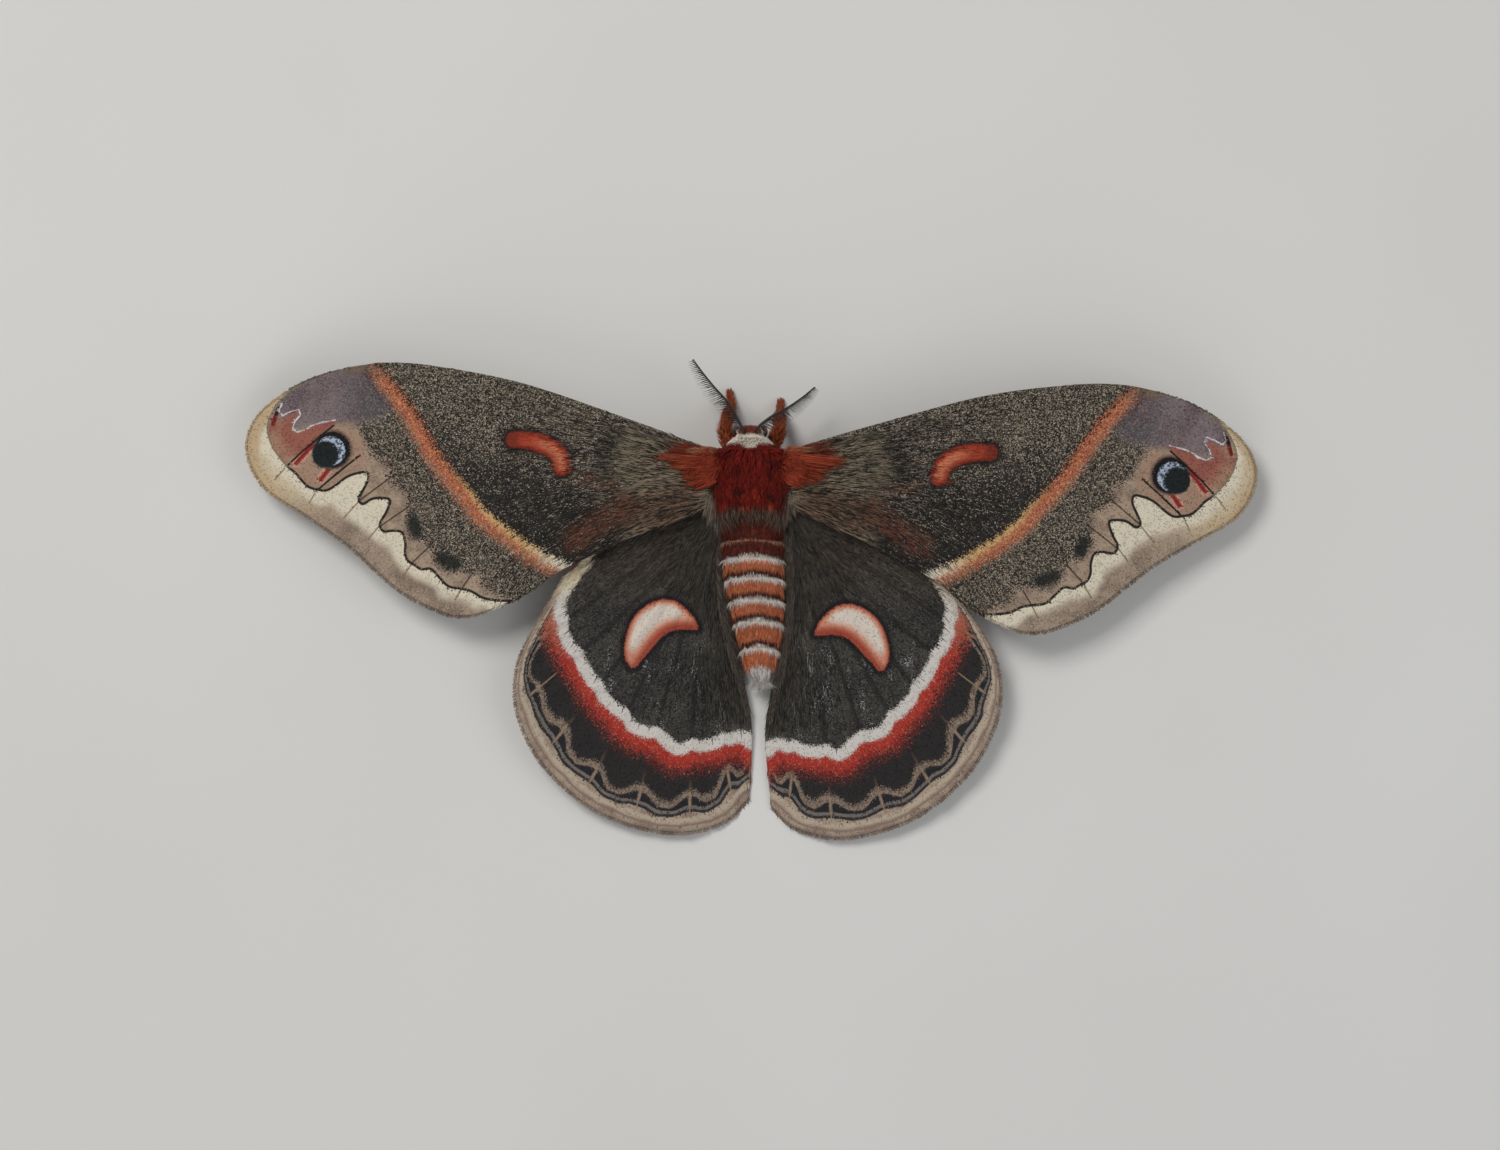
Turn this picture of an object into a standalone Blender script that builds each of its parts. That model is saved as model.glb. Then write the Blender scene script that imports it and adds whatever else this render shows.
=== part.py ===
"""A male cecropia moth at rest, life size, wings spread flat.

The moth faces +Y, its back is up (+Z), and its feet and the underside of its
abdomen stand on the floor at z = 0. X = 0 is the middle of the body.
Every size below is in millimetres, and finish() turns a mesh into metres.
"out" is the distance from the middle to either side, "ahead" is along +Y,
and a turned body's angle is 0 at the middle of the back.
"""

import math
import random

import bmesh
import bpy
from mathutils import Matrix, Vector

MM = 0.001
GAP = 0.3          # what touching pieces keep between their faces
SEED = 41
SIDES = {"left": -1, "right": 1}

# Body: (ahead, radius) stations, from back to front, and each part's middle height.
THORAX_SHAPE = ((12.2, 3.6), (13.8, 4.8), (17.4, 5.4), (20.2, 4.9), (21.4, 4.3), (21.9, 3.5))
THORAX_UP = 8.0
THORAX_FLATTEN = 0.87
COLLAR_SHAPE = ((22.2, 3.1), (22.65, 3.4), (23.15, 2.9))
COLLAR_UP = 8.3
COLLAR_FLATTEN = 0.95
HEAD_SHAPE = ((23.45, 1.9), (23.95, 2.2), (24.6, 2.1), (25.05, 1.5), (25.3, 0.7))
HEAD_UP = 7.5
HEAD_FLATTEN = 1.02
ABDOMEN_SHAPE = (
    (-10.6, 1.3), (-9.2, 2.2), (-6.9, 2.85), (-3.2, 3.6), (0.4, 4.0),
    (4.5, 4.4), (8.5, 4.5), (10.6, 4.3), (11.9, 3.7),
)
ABDOMEN_LINE = (
    (-13.0, 1.7, 2.5), (-9.2, 1.45, 2.5), (-6.6, 1.37, 2.45), (-3.2, 1.2, 3.6), (0.4, 0.85, 4.8),
    (4.5, 0.5, 5.8), (8.5, 0.36, 6.7), (11.9, 0.2, 7.5),
)
ABDOMEN_FLATTEN = 0.92
SEGMENT_ENDS = (11.9, 9.0, 6.5, 3.6, 0.4, -2.8, -6.7, -10.6)
SEGMENT_GROOVE = 0.22
# Each ring of the abdomen: shares of its length, and how much of the groove's depth is cut there.
SEGMENT_BULGE = ((0.0, 1.0), (0.25, 0.0), (0.7, 0.0))
BODY_SIDES = 20

# Head pieces.
EYE_RADIUS = 0.95
EYE_PLACE = (1.75, 24.45, 7.0)
ROUND_SIDES = 14
ROUND_RINGS = 8
PALP_ROUTE = ((0.6, 24.4, 6.0), (0.72, 24.95, 5.0), (0.66, 25.0, 4.1))
PALP_RADII = (0.34, 0.42, 0.25)

# Antennae: the shaft's route on each side, and its two rows of branches.
ANTENNA_ROUTE = {
    "left": ((1.0, 24.6, 10.15), (1.5, 25.6, 10.7), (2.9, 28.2, 11.0), (5.0, 30.6, 10.7),
             (6.6, 32.6, 10.1), (8.2, 34.8, 9.2)),
    "right": ((1.0, 24.6, 10.15), (1.5, 25.3, 10.7), (3.2, 26.6, 11.0), (5.4, 27.8, 10.7),
              (7.4, 29.2, 10.1), (9.3, 30.8, 9.2)),
}
ANTENNA_BASE_RADIUS = 0.34
ANTENNA_TIP_RADIUS = 0.24
ANTENNA_STEPS = 9
RAMI_PAIRS = 14
FIRST_RAMUS = 0.12    # share of the shaft
LAST_RAMUS = 0.97
RAMUS_LENGTH = 2.7
SHORTEST_RAMUS = 0.35  # share of the longest
RAMUS_BASE_RADIUS = 0.27
RAMUS_TIP_RADIUS = 0.1
RAMUS_SIDES = 4
RAMUS_SWEEP = 0.5
RAMI_DROPS = (36, 84)  # degrees below level, of the outer and the inner row

# Locks of long fur: length, width and how far a lock rises from the body on its way.
LOCK_THICK = 0.5
LOCK_CUTS = 2
LOCK_ROOT_DEPTH = 0.7
LOCK_TAPER = 0.85      # how much narrower a lock's tip is than its root
LOCK_TAPER_POWER = 1.7
THORAX_LOCK = (3.4, 2.1, 0.5)
THORAX_LOCK_ROWS = ((20.8, 9), (19.3, 11), (17.6, 12), (15.7, 12), (13.9, 10))
THORAX_LOCK_REACH = 125  # degrees to each side of the middle of the back
COLLAR_LOCK = (1.6, 1.7, 0.3)
COLLAR_LOCK_THICK = 0.6
COLLAR_LOCKS = 15
COLLAR_LOCK_REACH = 128
COLLAR_LOCK_AHEAD = 22.65
CREST_LOCK = (1.3, 1.1, 0.35)
CREST_LOCKS = 5
CREST_AHEAD = 24.1
CREST_REACH = 26
TAIL_LOCK = (3.6, 1.4, 0.3)
TAIL_LOCKS = 11
TAIL_LOCK_AHEAD = -9.0
TEGULA_PAD = (2.1, 2.0, 0.6)
TEGULA_PLACE = (6.2, 19.3, 10.8)
TEGULA_LOCK_WIDTH = 1.7
TEGULA_LOCK_LIFT = 1.05
TEGULA_LOCK_ARCH = 0.45
TEGULA_TIER_LIFT = 0.4
# Each wing-base lock: (out, ahead) of its root, its length, its turn from straight out, its tier.
TEGULA_LOCKS = (
    (6.6, 20.3, 7.8, 0.09, 0), (6.6, 19.6, 7.2, 0.0, 0), (6.4, 18.9, 6.2, -0.16, 0),
    (6.2, 18.4, 5.0, -0.38, 0), (5.8, 18.0, 4.0, -0.75, 0), (6.0, 20.6, 5.6, 0.3, 0),
    (5.9, 20.0, 4.7, 0.14, 1), (5.8, 19.2, 4.4, -0.08, 1), (5.8, 18.4, 3.6, -0.42, 1),
)

# Wings: outlines on a wing that is held straight out, from the root round.
FORE_COSTA = ((4.4, 21.4), (19.3, 26.2), (33.7, 30.5), (47.0, 32.6), (53.4, 32.75), (58.2, 31.95))
FORE_OUTER = (
    (58.2, 31.95), (62.7, 30.6), (66.9, 28.5), (71.6, 24.4), (73.0, 19.8), (70.5, 14.6), (63.6, 10.2),
    (57.9, 6.5), (50.5, 0.4), (46.2, -1.9), (42.3, -3.2), (38.7, -2.9), (32.0, 0.2), (27.0, 3.9),
)
FORE_INNER = ((4.5, 14.6), (8.5, 12.4), (16.5, 9.0), (27.0, 3.9))
HIND_COSTA = ((4.5, 14.3), (14.0, 12.2), (22.5, 7.6), (27.4, 3.6))
HIND_OUTER = (
    (27.4, 3.6), (31.0, -2.2), (34.2, -8.0), (35.1, -13.5), (33.9, -19.0), (30.2, -25.1),
    (23.3, -30.9), (15.5, -33.7), (9.6, -34.0), (4.7, -32.4), (1.6, -29.4),
)
HIND_INNER = (
    (4.5, 11.9), (4.95, 5.0), (4.5, -3.0), (3.4, -8.2), (2.0, -13.0), (1.0, -19.0), (1.6, -29.4),
)

# Veins: (a point that the vein passes half way, its end as a share of the outer edge).
FORE_VEINS = (
    ((27.0, 27.3), 0.03), ((28.0, 26.2), 0.12), ((30.0, 25.2), 0.21), ((31.5, 24.2), 0.29),
    ((31.0, 22.0), 0.38), ((29.5, 19.3), 0.48), ((28.0, 16.6), 0.58), ((26.0, 14.8), 0.69),
    ((22.0, 13.4), 0.81), ((17.5, 11.2), 0.93),
)
HIND_VEINS = (
    ((16.5, 9.3), 0.06), ((15.5, 5.6), 0.19), ((14.2, 2.8), 0.32), ((12.8, 0.6), 0.45),
    ((11.0, -0.9), 0.58), ((9.4, -1.2), 0.71), ((7.6, -0.6), 0.84), ((6.1, -1.0), 0.95),
)
VEIN_BEND_AT = 0.38
VEIN_HALF_WIDTH = 0.55
MEMBRANE = 0.55      # thickness between the veins
VEIN_THICK = 0.95    # thickness at a vein's crest
COSTA_THICK = 0.6    # share of a vein's extra thickness that the front edge has
THICK_ROOT = 0.12    # share of the wing's length over which its root thins out
FORE_ROWS = 10
HIND_ROWS = 8
ROW_CROWDING = 1.15

# How each side's wings are held: turn in degrees, then (out, ahead) shift.
WING_HOLD = {
    ("fore", "left"): (2.0, -0.1, -0.08),
    ("fore", "right"): (-2.0, 0.1, 0.08),
    ("hind", "left"): (-1.32, -0.53, 0.82),
    ("hind", "right"): (1.32, 0.53, -0.82),
}
TURN_POINT = {"fore": (5.0, 17.5), "hind": (5.0, 12.0)}
FORE_ROOT_UP = 9.4
HIND_ROOT_UP = 7.7

# Legs: coxa, knee, ankle and toe of each, as (out, ahead, up).
LEGS = {
    ("front", "left"): ((2.5, 21.2, 4.3), (3.9, 24.9, 5.0), (2.7, 28.6, 1.7), (3.0, 31.0, 0.34)),
    ("front", "right"): ((2.5, 21.2, 4.3), (4.3, 24.7, 5.0), (4.3, 27.4, 1.7), (4.6, 29.6, 0.34)),
    ("middle", "left"): ((3.4, 17.8, 4.2), (7.6, 18.8, 5.6), (10.6, 17.9, 1.6), (13.2, 17.2, 0.34)),
    ("middle", "right"): ((3.4, 17.8, 4.2), (7.6, 18.6, 5.6), (10.6, 17.3, 1.6), (13.2, 16.4, 0.34)),
    ("hind", "left"): ((3.2, 14.6, 4.3), (7.0, 10.8, 4.9), (8.8, 5.0, 1.5), (9.6, 1.6, 0.34)),
    ("hind", "right"): ((3.2, 14.6, 4.3), (7.0, 10.6, 4.9), (9.0, 4.6, 1.5), (10.0, 1.2, 0.34)),
}
FEMUR_RADIUS = 0.8
TIBIA_RADIUS = 0.55
TARSUS_RADIUS = 0.42
LEG_TAPER = 0.8
LEG_BULGE_AT = 0.45
JOINT_INSET = 0.24   # how far each length of a leg stops short of its joint
FEMUR_ROOM = 0.36

# Colours, as linear RGB, and roughness.
LOOKS = {
    "wing": ((0.09, 0.075, 0.06), 0.9),
    "red_fur": ((0.13, 0.012, 0.006), 0.95),
    "orange_fur": ((0.36, 0.09, 0.03), 0.95),
    "white_fur": ((0.6, 0.55, 0.46), 0.95),
    "banded_fur": ((0.4, 0.16, 0.08), 0.95),
    "leg": ((0.3, 0.09, 0.03), 0.8),
    "antenna": ((0.02, 0.016, 0.014), 0.7),
    "eye": ((0.02, 0.012, 0.01), 0.25),
}


def clear_scene():
    """Start with nothing."""
    for item in list(bpy.data.objects):
        bpy.data.objects.remove(item, do_unlink=True)


def new_collection(name):
    """An empty collection that belongs to the scene."""
    group = bpy.data.collections.new(name)
    bpy.context.scene.collection.children.link(group)
    return group


def material(name):
    """The material of one kind of surface, made the first time it is asked for."""
    colour, roughness = LOOKS[name]
    made = bpy.data.materials.get(name) or bpy.data.materials.new(name)
    made.use_nodes = True
    shader = made.node_tree.nodes["Principled BSDF"]
    shader.inputs["Base Color"].default_value = (*colour, 1.0)
    shader.inputs["Roughness"].default_value = roughness
    shader.inputs["Metallic"].default_value = 0.0
    return made


def finish(bm, name, look, group):
    """Turn a mesh in millimetres into an object of the moth."""
    bmesh.ops.recalc_face_normals(bm, faces=bm.faces)
    bmesh.ops.scale(bm, vec=(MM, MM, MM), verts=bm.verts)
    mesh = bpy.data.meshes.new(name)
    bm.to_mesh(mesh)
    bm.free()
    mesh.materials.append(material(look))
    item = bpy.data.objects.new(name, mesh)
    group.objects.link(item)
    return item


def evaluated_mesh(item):
    """A copy of an object's mesh with its modifiers applied."""
    bpy.context.view_layer.update()
    return bpy.data.meshes.new_from_object(item.evaluated_get(bpy.context.evaluated_depsgraph_get()))


def keep_largest(mesh):
    """Keep only the closed surface with the most faces."""
    bm = bmesh.new()
    bm.from_mesh(mesh)
    unseen = set(bm.faces)
    shells = []
    while unseen:
        shell = {unseen.pop()}
        front = list(shell)
        while front:
            face = front.pop()
            for edge in face.edges:
                for other in edge.link_faces:
                    if other in unseen:
                        unseen.remove(other)
                        shell.add(other)
                        front.append(other)
        shells.append(shell)
    shells.sort(key=len)
    loose = [face for shell in shells[:-1] for face in shell]
    bmesh.ops.delete(bm, geom=loose, context="FACES")
    bm.to_mesh(mesh)
    bm.free()


def combine(item, operation, pieces):
    """Join or cut an object with a collection of closed objects, which is then removed."""
    group = bpy.data.collections.new("pieces")
    for piece in pieces:
        for owner in list(piece.users_collection):
            owner.objects.unlink(piece)
        group.objects.link(piece)
    bpy.context.scene.collection.children.link(group)
    step = item.modifiers.new("combine", "BOOLEAN")
    step.operation = operation
    step.operand_type = "COLLECTION"
    step.collection = group
    step.solver = "EXACT"
    mesh = evaluated_mesh(item)
    item.modifiers.clear()
    for piece in list(group.objects):
        bpy.data.objects.remove(piece, do_unlink=True)
    bpy.data.collections.remove(group)
    keep_largest(mesh)
    mesh.materials.clear()
    mesh.materials.append(item.data.materials[0])
    item.data = mesh


def smooth_at(stations, where):
    """A value between stations of (place, value...), along a smooth line."""
    stations = sorted(stations)
    for end in (stations[0], stations[-1]):
        outside = where <= end[0] if end is stations[0] else where >= end[0]
        if outside:
            return Vector(end[1:]) if len(end) > 2 else end[1]
    after = next(i for i, row in enumerate(stations) if row[0] > where)
    first, last = stations[after - 1], stations[after]
    share = (where - first[0]) / (last[0] - first[0])
    values = []
    for axis in range(1, len(first)):
        slopes = []
        for here in (after - 1, after):
            low = stations[max(here - 1, 0)]
            high = stations[min(here + 1, len(stations) - 1)]
            slopes.append((high[axis] - low[axis]) / (high[0] - low[0]))
        span = last[0] - first[0]
        s2, s3 = share ** 2, share ** 3
        values.append(
            (2 * s3 - 3 * s2 + 1) * first[axis] + (s3 - 2 * s2 + share) * span * slopes[0]
            + (3 * s2 - 2 * s3) * last[axis] + (s3 - s2) * span * slopes[1]
        )
    return Vector(values) if len(values) > 1 else values[0]


def through(points, share):
    """The point at a share of the length of a smooth line through some points."""
    points = [Vector(p) for p in points]
    length = [0.0]
    for first, last in zip(points, points[1:]):
        length.append(length[-1] + (last - first).length)
    stations = [(distance, *point) for distance, point in zip(length, points)]
    return Vector(smooth_at(stations, share * length[-1]))


def turned(stations):
    """A closed body turned about the long axis, with flat ends."""
    bm = bmesh.new()
    line = [(stations[0][0], 0.0), *stations, (stations[-1][0], 0.0)]
    profile = [bm.verts.new((radius, ahead, 0.0)) for ahead, radius in line]
    edges = [bm.edges.new(pair) for pair in zip(profile, profile[1:])]
    bmesh.ops.spin(
        bm, geom=profile + edges, cent=(0, 0, 0), axis=(0, 1, 0), angle=math.tau, steps=BODY_SIDES,
        use_merge=True,
    )
    bmesh.ops.remove_doubles(bm, verts=bm.verts, dist=0.001)
    return bm


def place_body(bm, line, flatten):
    """Flatten a turned body and bend it along a line of (ahead, out, up)."""
    for vert in bm.verts:
        across, up = smooth_at(line, vert.co.y)
        vert.co.x += across
        vert.co.z = vert.co.z * flatten + up


def level_line(up):
    """A straight middle line at one height, for place_body."""
    return ((0.0, 0.0, up), (1.0, 0.0, up))


def stand_on_floor(bm):
    """Flatten whatever would pass the floor."""
    for vert in bm.verts:
        vert.co.z = max(vert.co.z, 0.0)


def tube(points, radii, resolution):
    """A tapered tube through points, as a closed mesh in millimetres. resolution rounds it."""
    curve = bpy.data.curves.new("route", "CURVE")
    curve.dimensions = "3D"
    curve.bevel_depth = 1.0
    curve.bevel_resolution = resolution
    curve.use_fill_caps = True
    spline = curve.splines.new("POLY")
    spline.points.add(len(points) - 1)
    for row, place, radius in zip(spline.points, points, radii):
        row.co = (*place, 1.0)
        row.radius = radius
    item = bpy.data.objects.new("route", curve)
    bpy.context.scene.collection.objects.link(item)
    mesh = evaluated_mesh(item)
    bpy.data.objects.remove(item, do_unlink=True)
    bm = bmesh.new()
    bm.from_mesh(mesh)
    bmesh.ops.remove_doubles(bm, verts=bm.verts, dist=0.001)
    bpy.data.meshes.remove(mesh)
    return bm


def flat_bar():
    """A unit bar along Y, cut across so that it can bend."""
    bm = bmesh.new()
    bmesh.ops.create_cube(bm, size=1.0)
    long_edges = [edge for edge in bm.edges if abs(edge.verts[0].co.y - edge.verts[1].co.y) > 0.5]
    bmesh.ops.subdivide_edges(bm, edges=long_edges, cuts=LOCK_CUTS)
    return bm


def lock(root, along, outward, length, width, lift, thick):
    """A flat, tapered lock that leaves its root along the coat and bends back to it."""
    bm = flat_bar()
    across = along.cross(outward).normalized()
    for vert in bm.verts:
        share = vert.co.y + 0.5
        taper = 1.0 - LOCK_TAPER * share ** LOCK_TAPER_POWER
        rise = lift * math.sin(math.pi * share * 0.8) - LOCK_ROOT_DEPTH * (1.0 - share)
        middle = root + along * (length * share) + outward * rise
        vert.co = (
            middle + across * (vert.co.x * width * taper)
            + outward * (vert.co.z * thick * (1.0 - 0.5 * share))
        )
    bmesh.ops.recalc_face_normals(bm, faces=bm.faces)
    return bm


def on_body(stations, line, flatten, ahead, angle):
    """A point on a turned and placed body, and the direction out of it."""
    def spot(y, a):
        radius = smooth_at(stations, y)
        across, up = smooth_at(line, y)
        return Vector((radius * math.sin(a) + across, y, radius * math.cos(a) * flatten + up))
    step = 0.05
    to_front = spot(ahead + step, angle) - spot(ahead - step, angle)
    to_side = spot(ahead, angle + step) - spot(ahead, angle - step)
    return spot(ahead, angle), to_side.cross(to_front).normalized()


def fore_height(out, ahead):
    """Height of the forewing's middle surface: level by the body, drooping to the tip."""
    reach = max(out - 4.5, 0.0)
    behind = max(21.4 + 0.31 * reach - 0.0018 * reach ** 2 - ahead, 0.0)
    return (
        FORE_ROOT_UP + 0.9 * (1.0 - math.exp(-reach / 10.0)) - 5.4 * (reach / 68.0) ** 2.2
        - 1.9 * (behind / 35.0) ** 2
    )


def hind_height(out, ahead):
    """Height of the hindwing's middle surface: it falls to the rear, most beside the body."""
    behind = max(14.0 - ahead, 0.0)
    fall = 6.8 * (1.0 - math.exp(-((behind / 22.0) ** 1.3)))
    fold = 1.1 * math.exp(-((out / 7.0) ** 2)) * min(max((behind - 9.0) / 14.0, 0.0), 1.0)
    return HIND_ROOT_UP - fall - fold + 0.062 * (out - 4.5)


WINGS = {
    "fore": {
        "costa": FORE_COSTA, "outer": FORE_OUTER, "inner": FORE_INNER, "veins": FORE_VEINS,
        "rows": FORE_ROWS, "height": fore_height,
    },
    "hind": {
        "costa": HIND_COSTA, "outer": HIND_OUTER, "inner": HIND_INNER, "veins": HIND_VEINS,
        "rows": HIND_ROWS, "height": hind_height,
    },
}


def held(pair, side, out, ahead):
    """Where a point of a wing that is held straight out goes on one side of the moth."""
    turn, shift_out, shift_ahead = WING_HOLD[(pair, side)]
    centre = Vector(TURN_POINT[pair])
    place = Matrix.Rotation(math.radians(turn), 2) @ (Vector((out, ahead)) - centre) + centre
    return place.x + shift_out, place.y + shift_ahead


def wing_columns(pair):
    """Lines from root to outer edge: the two edges, each vein's crest and its two flanks.

    Each is its end as a share of the outer edge, the point its vein bends at, which flank of the
    vein it is, and its share of a vein's extra thickness.
    """
    outer = WINGS[pair]["outer"]
    edge_length = sum((Vector(b) - Vector(a)).length for a, b in zip(outer, outer[1:]))
    flank_step = VEIN_HALF_WIDTH / edge_length
    columns = [(0.0, None, 0, COSTA_THICK)]
    for bend, end in WINGS[pair]["veins"]:
        for flank in (-1, 0, 1):
            columns.append((end + flank * flank_step, Vector(bend), flank, 1.0 - abs(flank)))
    columns.append((1.0, None, 0, 0.0))
    return columns


def wing_point(pair, columns, number, share):
    """One grid point on a wing held straight out, at a share of the way from its root."""
    costa, inner = WINGS[pair]["costa"], WINGS[pair]["inner"]
    last = len(columns) - 1
    if number == 0:
        return through(costa, share)
    if number == last:
        return through(inner, share)
    end, middle, flank, _ = columns[number]
    root = Vector(costa[0]).lerp(Vector(inner[0]), number / last)
    tip = through(WINGS[pair]["outer"], end)
    heading = (tip - root).normalized()
    middle = middle + Vector((heading.y, -heading.x)) * flank * VEIN_HALF_WIDTH
    rest = 1.0 - VEIN_BEND_AT
    control = (middle - rest ** 2 * root - VEIN_BEND_AT ** 2 * tip) / (2 * rest * VEIN_BEND_AT)
    return (1.0 - share) ** 2 * root + 2 * share * (1.0 - share) * control + share ** 2 * tip


def wing(pair, side, group, grow=0.0):
    """A wing as a thin solid whose veins are ridges. grow makes a cutter that clears it."""
    rows, height = WINGS[pair]["rows"], WINGS[pair]["height"]
    columns = wing_columns(pair)
    last = len(columns) - 1
    bm = bmesh.new()
    bmesh.ops.create_grid(bm, x_segments=last, y_segments=rows, size=1.0)
    bm.verts.ensure_lookup_table()
    weights = []
    for index, vert in enumerate(bm.verts):
        row, number = divmod(index, last + 1)
        share = (row / rows) ** ROW_CROWDING
        flat = wing_point(pair, columns, number, share)
        if row == 0:
            flat.x -= grow
        up = height(flat.x, flat.y)
        if number == 0:
            flat.y += grow
        if number == last:
            flat -= Vector((grow, grow)) * math.sqrt(0.5)
        out, ahead = held(pair, side, flat.x, flat.y)
        vert.co = (SIDES[side] * out, ahead, up)
        near_root = max(1.0 - share / THICK_ROOT, 0.0)
        weights.append(max(columns[number][3], near_root))
    bmesh.ops.triangulate(bm, faces=bm.faces, quad_method="SHORT_EDGE")
    item = finish(bm, f"{pair}wing_{side}", "wing", group)
    ridge = item.vertex_groups.new(name="ridge")
    for index, weight in enumerate(weights):
        ridge.add([index], weight, "REPLACE")
    skin = item.modifiers.new("thickness", "SOLIDIFY")
    skin.thickness = (VEIN_THICK + 2 * grow) * MM
    skin.offset = 0.0
    skin.vertex_group = "ridge"
    skin.thickness_vertex_group = (MEMBRANE + 2 * grow) / (VEIN_THICK + 2 * grow)
    return item


def applied(item):
    """The object with its modifiers made part of its mesh."""
    mesh = evaluated_mesh(item)
    item.modifiers.clear()
    item.data = mesh
    return item


def thorax(group, grow=0.0):
    """The thorax without its fur. grow makes a cutter that clears it."""
    stations = [(ahead, radius + grow) for ahead, radius in THORAX_SHAPE]
    stations[0] = (stations[0][0] - grow, stations[0][1])
    stations[-1] = (stations[-1][0] + grow, stations[-1][1])
    bm = turned(stations)
    place_body(bm, level_line(THORAX_UP), THORAX_FLATTEN)
    return finish(bm, "thorax", "red_fur", group)


def tegula_core(side, group, grow=0.0):
    """The pad of fur that covers the forewing's root. grow makes a cutter that clears it."""
    bm = bmesh.new()
    bmesh.ops.create_uvsphere(bm, u_segments=ROUND_SIDES, v_segments=ROUND_RINGS, radius=1.0)
    bmesh.ops.scale(bm, vec=[size + grow for size in TEGULA_PAD], verts=bm.verts)
    out, ahead, up = TEGULA_PLACE
    bmesh.ops.translate(bm, vec=(SIDES[side] * out, ahead, up), verts=bm.verts)
    return finish(bm, f"tegula_{side}", "orange_fur", group)


def leg_joints(pair, side):
    """The coxa, knee, ankle and toe of a leg."""
    return [Vector((SIDES[side] * out, ahead, up)) for out, ahead, up in LEGS[(pair, side)]]


def femur_room(pair, side, group):
    """A cutter that keeps the gap between the thorax and the root of a leg."""
    coxa, knee, _, _ = leg_joints(pair, side)
    start = coxa - (knee - coxa).normalized() * GAP
    bm = tube([start, knee], [FEMUR_RADIUS + FEMUR_ROOM] * 2, 2)
    return finish(bm, "room", "leg", group)


def leg(pair, side, group):
    """A leg in three lengths, each its own object."""
    coxa, knee, ankle, toe = leg_joints(pair, side)
    for name, start, end, thick in (
        ("femur", coxa, knee, FEMUR_RADIUS),
        ("tibia", knee, ankle, TIBIA_RADIUS),
        ("tarsus", ankle, toe, TARSUS_RADIUS),
    ):
        heading = (end - start).normalized()
        first = start if name == "femur" else start + heading * JOINT_INSET
        final = end if name == "tarsus" else end - heading * JOINT_INSET
        middle = first.lerp(final, LEG_BULGE_AT)
        bm = tube([first, middle, final], [thick * LEG_TAPER, thick, thick * LEG_TAPER], 2)
        stand_on_floor(bm)
        finish(bm, f"leg_{pair}_{side}_{name}", "leg", group)


def ramus(start, heading, length, group):
    """One side branch of an antenna, rooted inside the shaft and tapering to its tip."""
    bm = bmesh.new()
    bmesh.ops.create_cone(
        bm, cap_ends=True, segments=RAMUS_SIDES, radius1=RAMUS_BASE_RADIUS, radius2=RAMUS_TIP_RADIUS,
        depth=length,
    )
    bmesh.ops.translate(bm, vec=(0, 0, length / 2), verts=bm.verts)
    bmesh.ops.transform(bm, matrix=heading.to_track_quat("Z", "Y").to_matrix().to_4x4(), verts=bm.verts)
    bmesh.ops.translate(bm, vec=start, verts=bm.verts)
    return finish(bm, "ramus", "antenna", group)


def antenna(side, group):
    """A feathered antenna: a curved shaft with two rows of branches that hang like a comb."""
    route = [Vector((SIDES[side] * out, ahead, up)) for out, ahead, up in ANTENNA_ROUTE[side]]
    shares = [step / ANTENNA_STEPS for step in range(ANTENNA_STEPS + 1)]
    points = [through(route, share) for share in shares]
    taper = ANTENNA_TIP_RADIUS - ANTENNA_BASE_RADIUS
    radii = [ANTENNA_BASE_RADIUS + taper * share for share in shares]
    shaft = finish(tube(points, radii, 1), f"antenna_{side}", "antenna", group)
    branches = []
    for number in range(RAMI_PAIRS):
        share = FIRST_RAMUS + (LAST_RAMUS - FIRST_RAMUS) * number / (RAMI_PAIRS - 1)
        start = through(route, share)
        tangent = (through(route, share + 0.03) - through(route, share - 0.03)).normalized()
        away = Vector((tangent.y, -tangent.x, 0.0)).normalized() * SIDES[side]
        fullness = math.sin(math.pi * share ** 0.8) ** 0.7
        length = RAMUS_LENGTH * (SHORTEST_RAMUS + (1.0 - SHORTEST_RAMUS) * fullness)
        for drop in RAMI_DROPS:
            angle = math.radians(drop + random.uniform(-3, 3))
            heading = away * math.cos(angle) - Vector((0, 0, 1)) * math.sin(angle)
            heading = (heading + tangent * RAMUS_SWEEP).normalized()
            branches.append(ramus(start, heading, length * random.uniform(0.93, 1.05), group))
    combine(shaft, "UNION", branches)


def body_lock(spot, heading, shape, group):
    """A lock on a turned body. heading is the way it lies before it is laid on the surface."""
    here, outward = spot
    along = (heading - outward * heading.dot(outward)).normalized()
    length, width, lift = shape
    bm = lock(
        here - outward * 0.1, along, outward, length * random.uniform(0.88, 1.1),
        width * random.uniform(0.9, 1.1), lift, LOCK_THICK,
    )
    return finish(bm, "lock", "red_fur", group)


def thorax_locks(group):
    """Long fur on the back, sides and underside, in rows that overlap like tiles."""
    locks = []
    for row, (ahead, count) in enumerate(THORAX_LOCK_ROWS):
        for number in range(count):
            place = (number + 0.5 * (row % 2) + 0.25) / count
            angle = math.radians(THORAX_LOCK_REACH * (2 * place - 1))
            ahead_here = ahead + random.uniform(-0.2, 0.2)
            spot = on_body(THORAX_SHAPE, level_line(THORAX_UP), THORAX_FLATTEN, ahead_here, angle)
            heading = Vector((0.35 * math.sin(angle) + random.uniform(-0.15, 0.15), -1.0, 0.0))
            locks.append(body_lock(spot, heading, THORAX_LOCK, group))
    return locks


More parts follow.
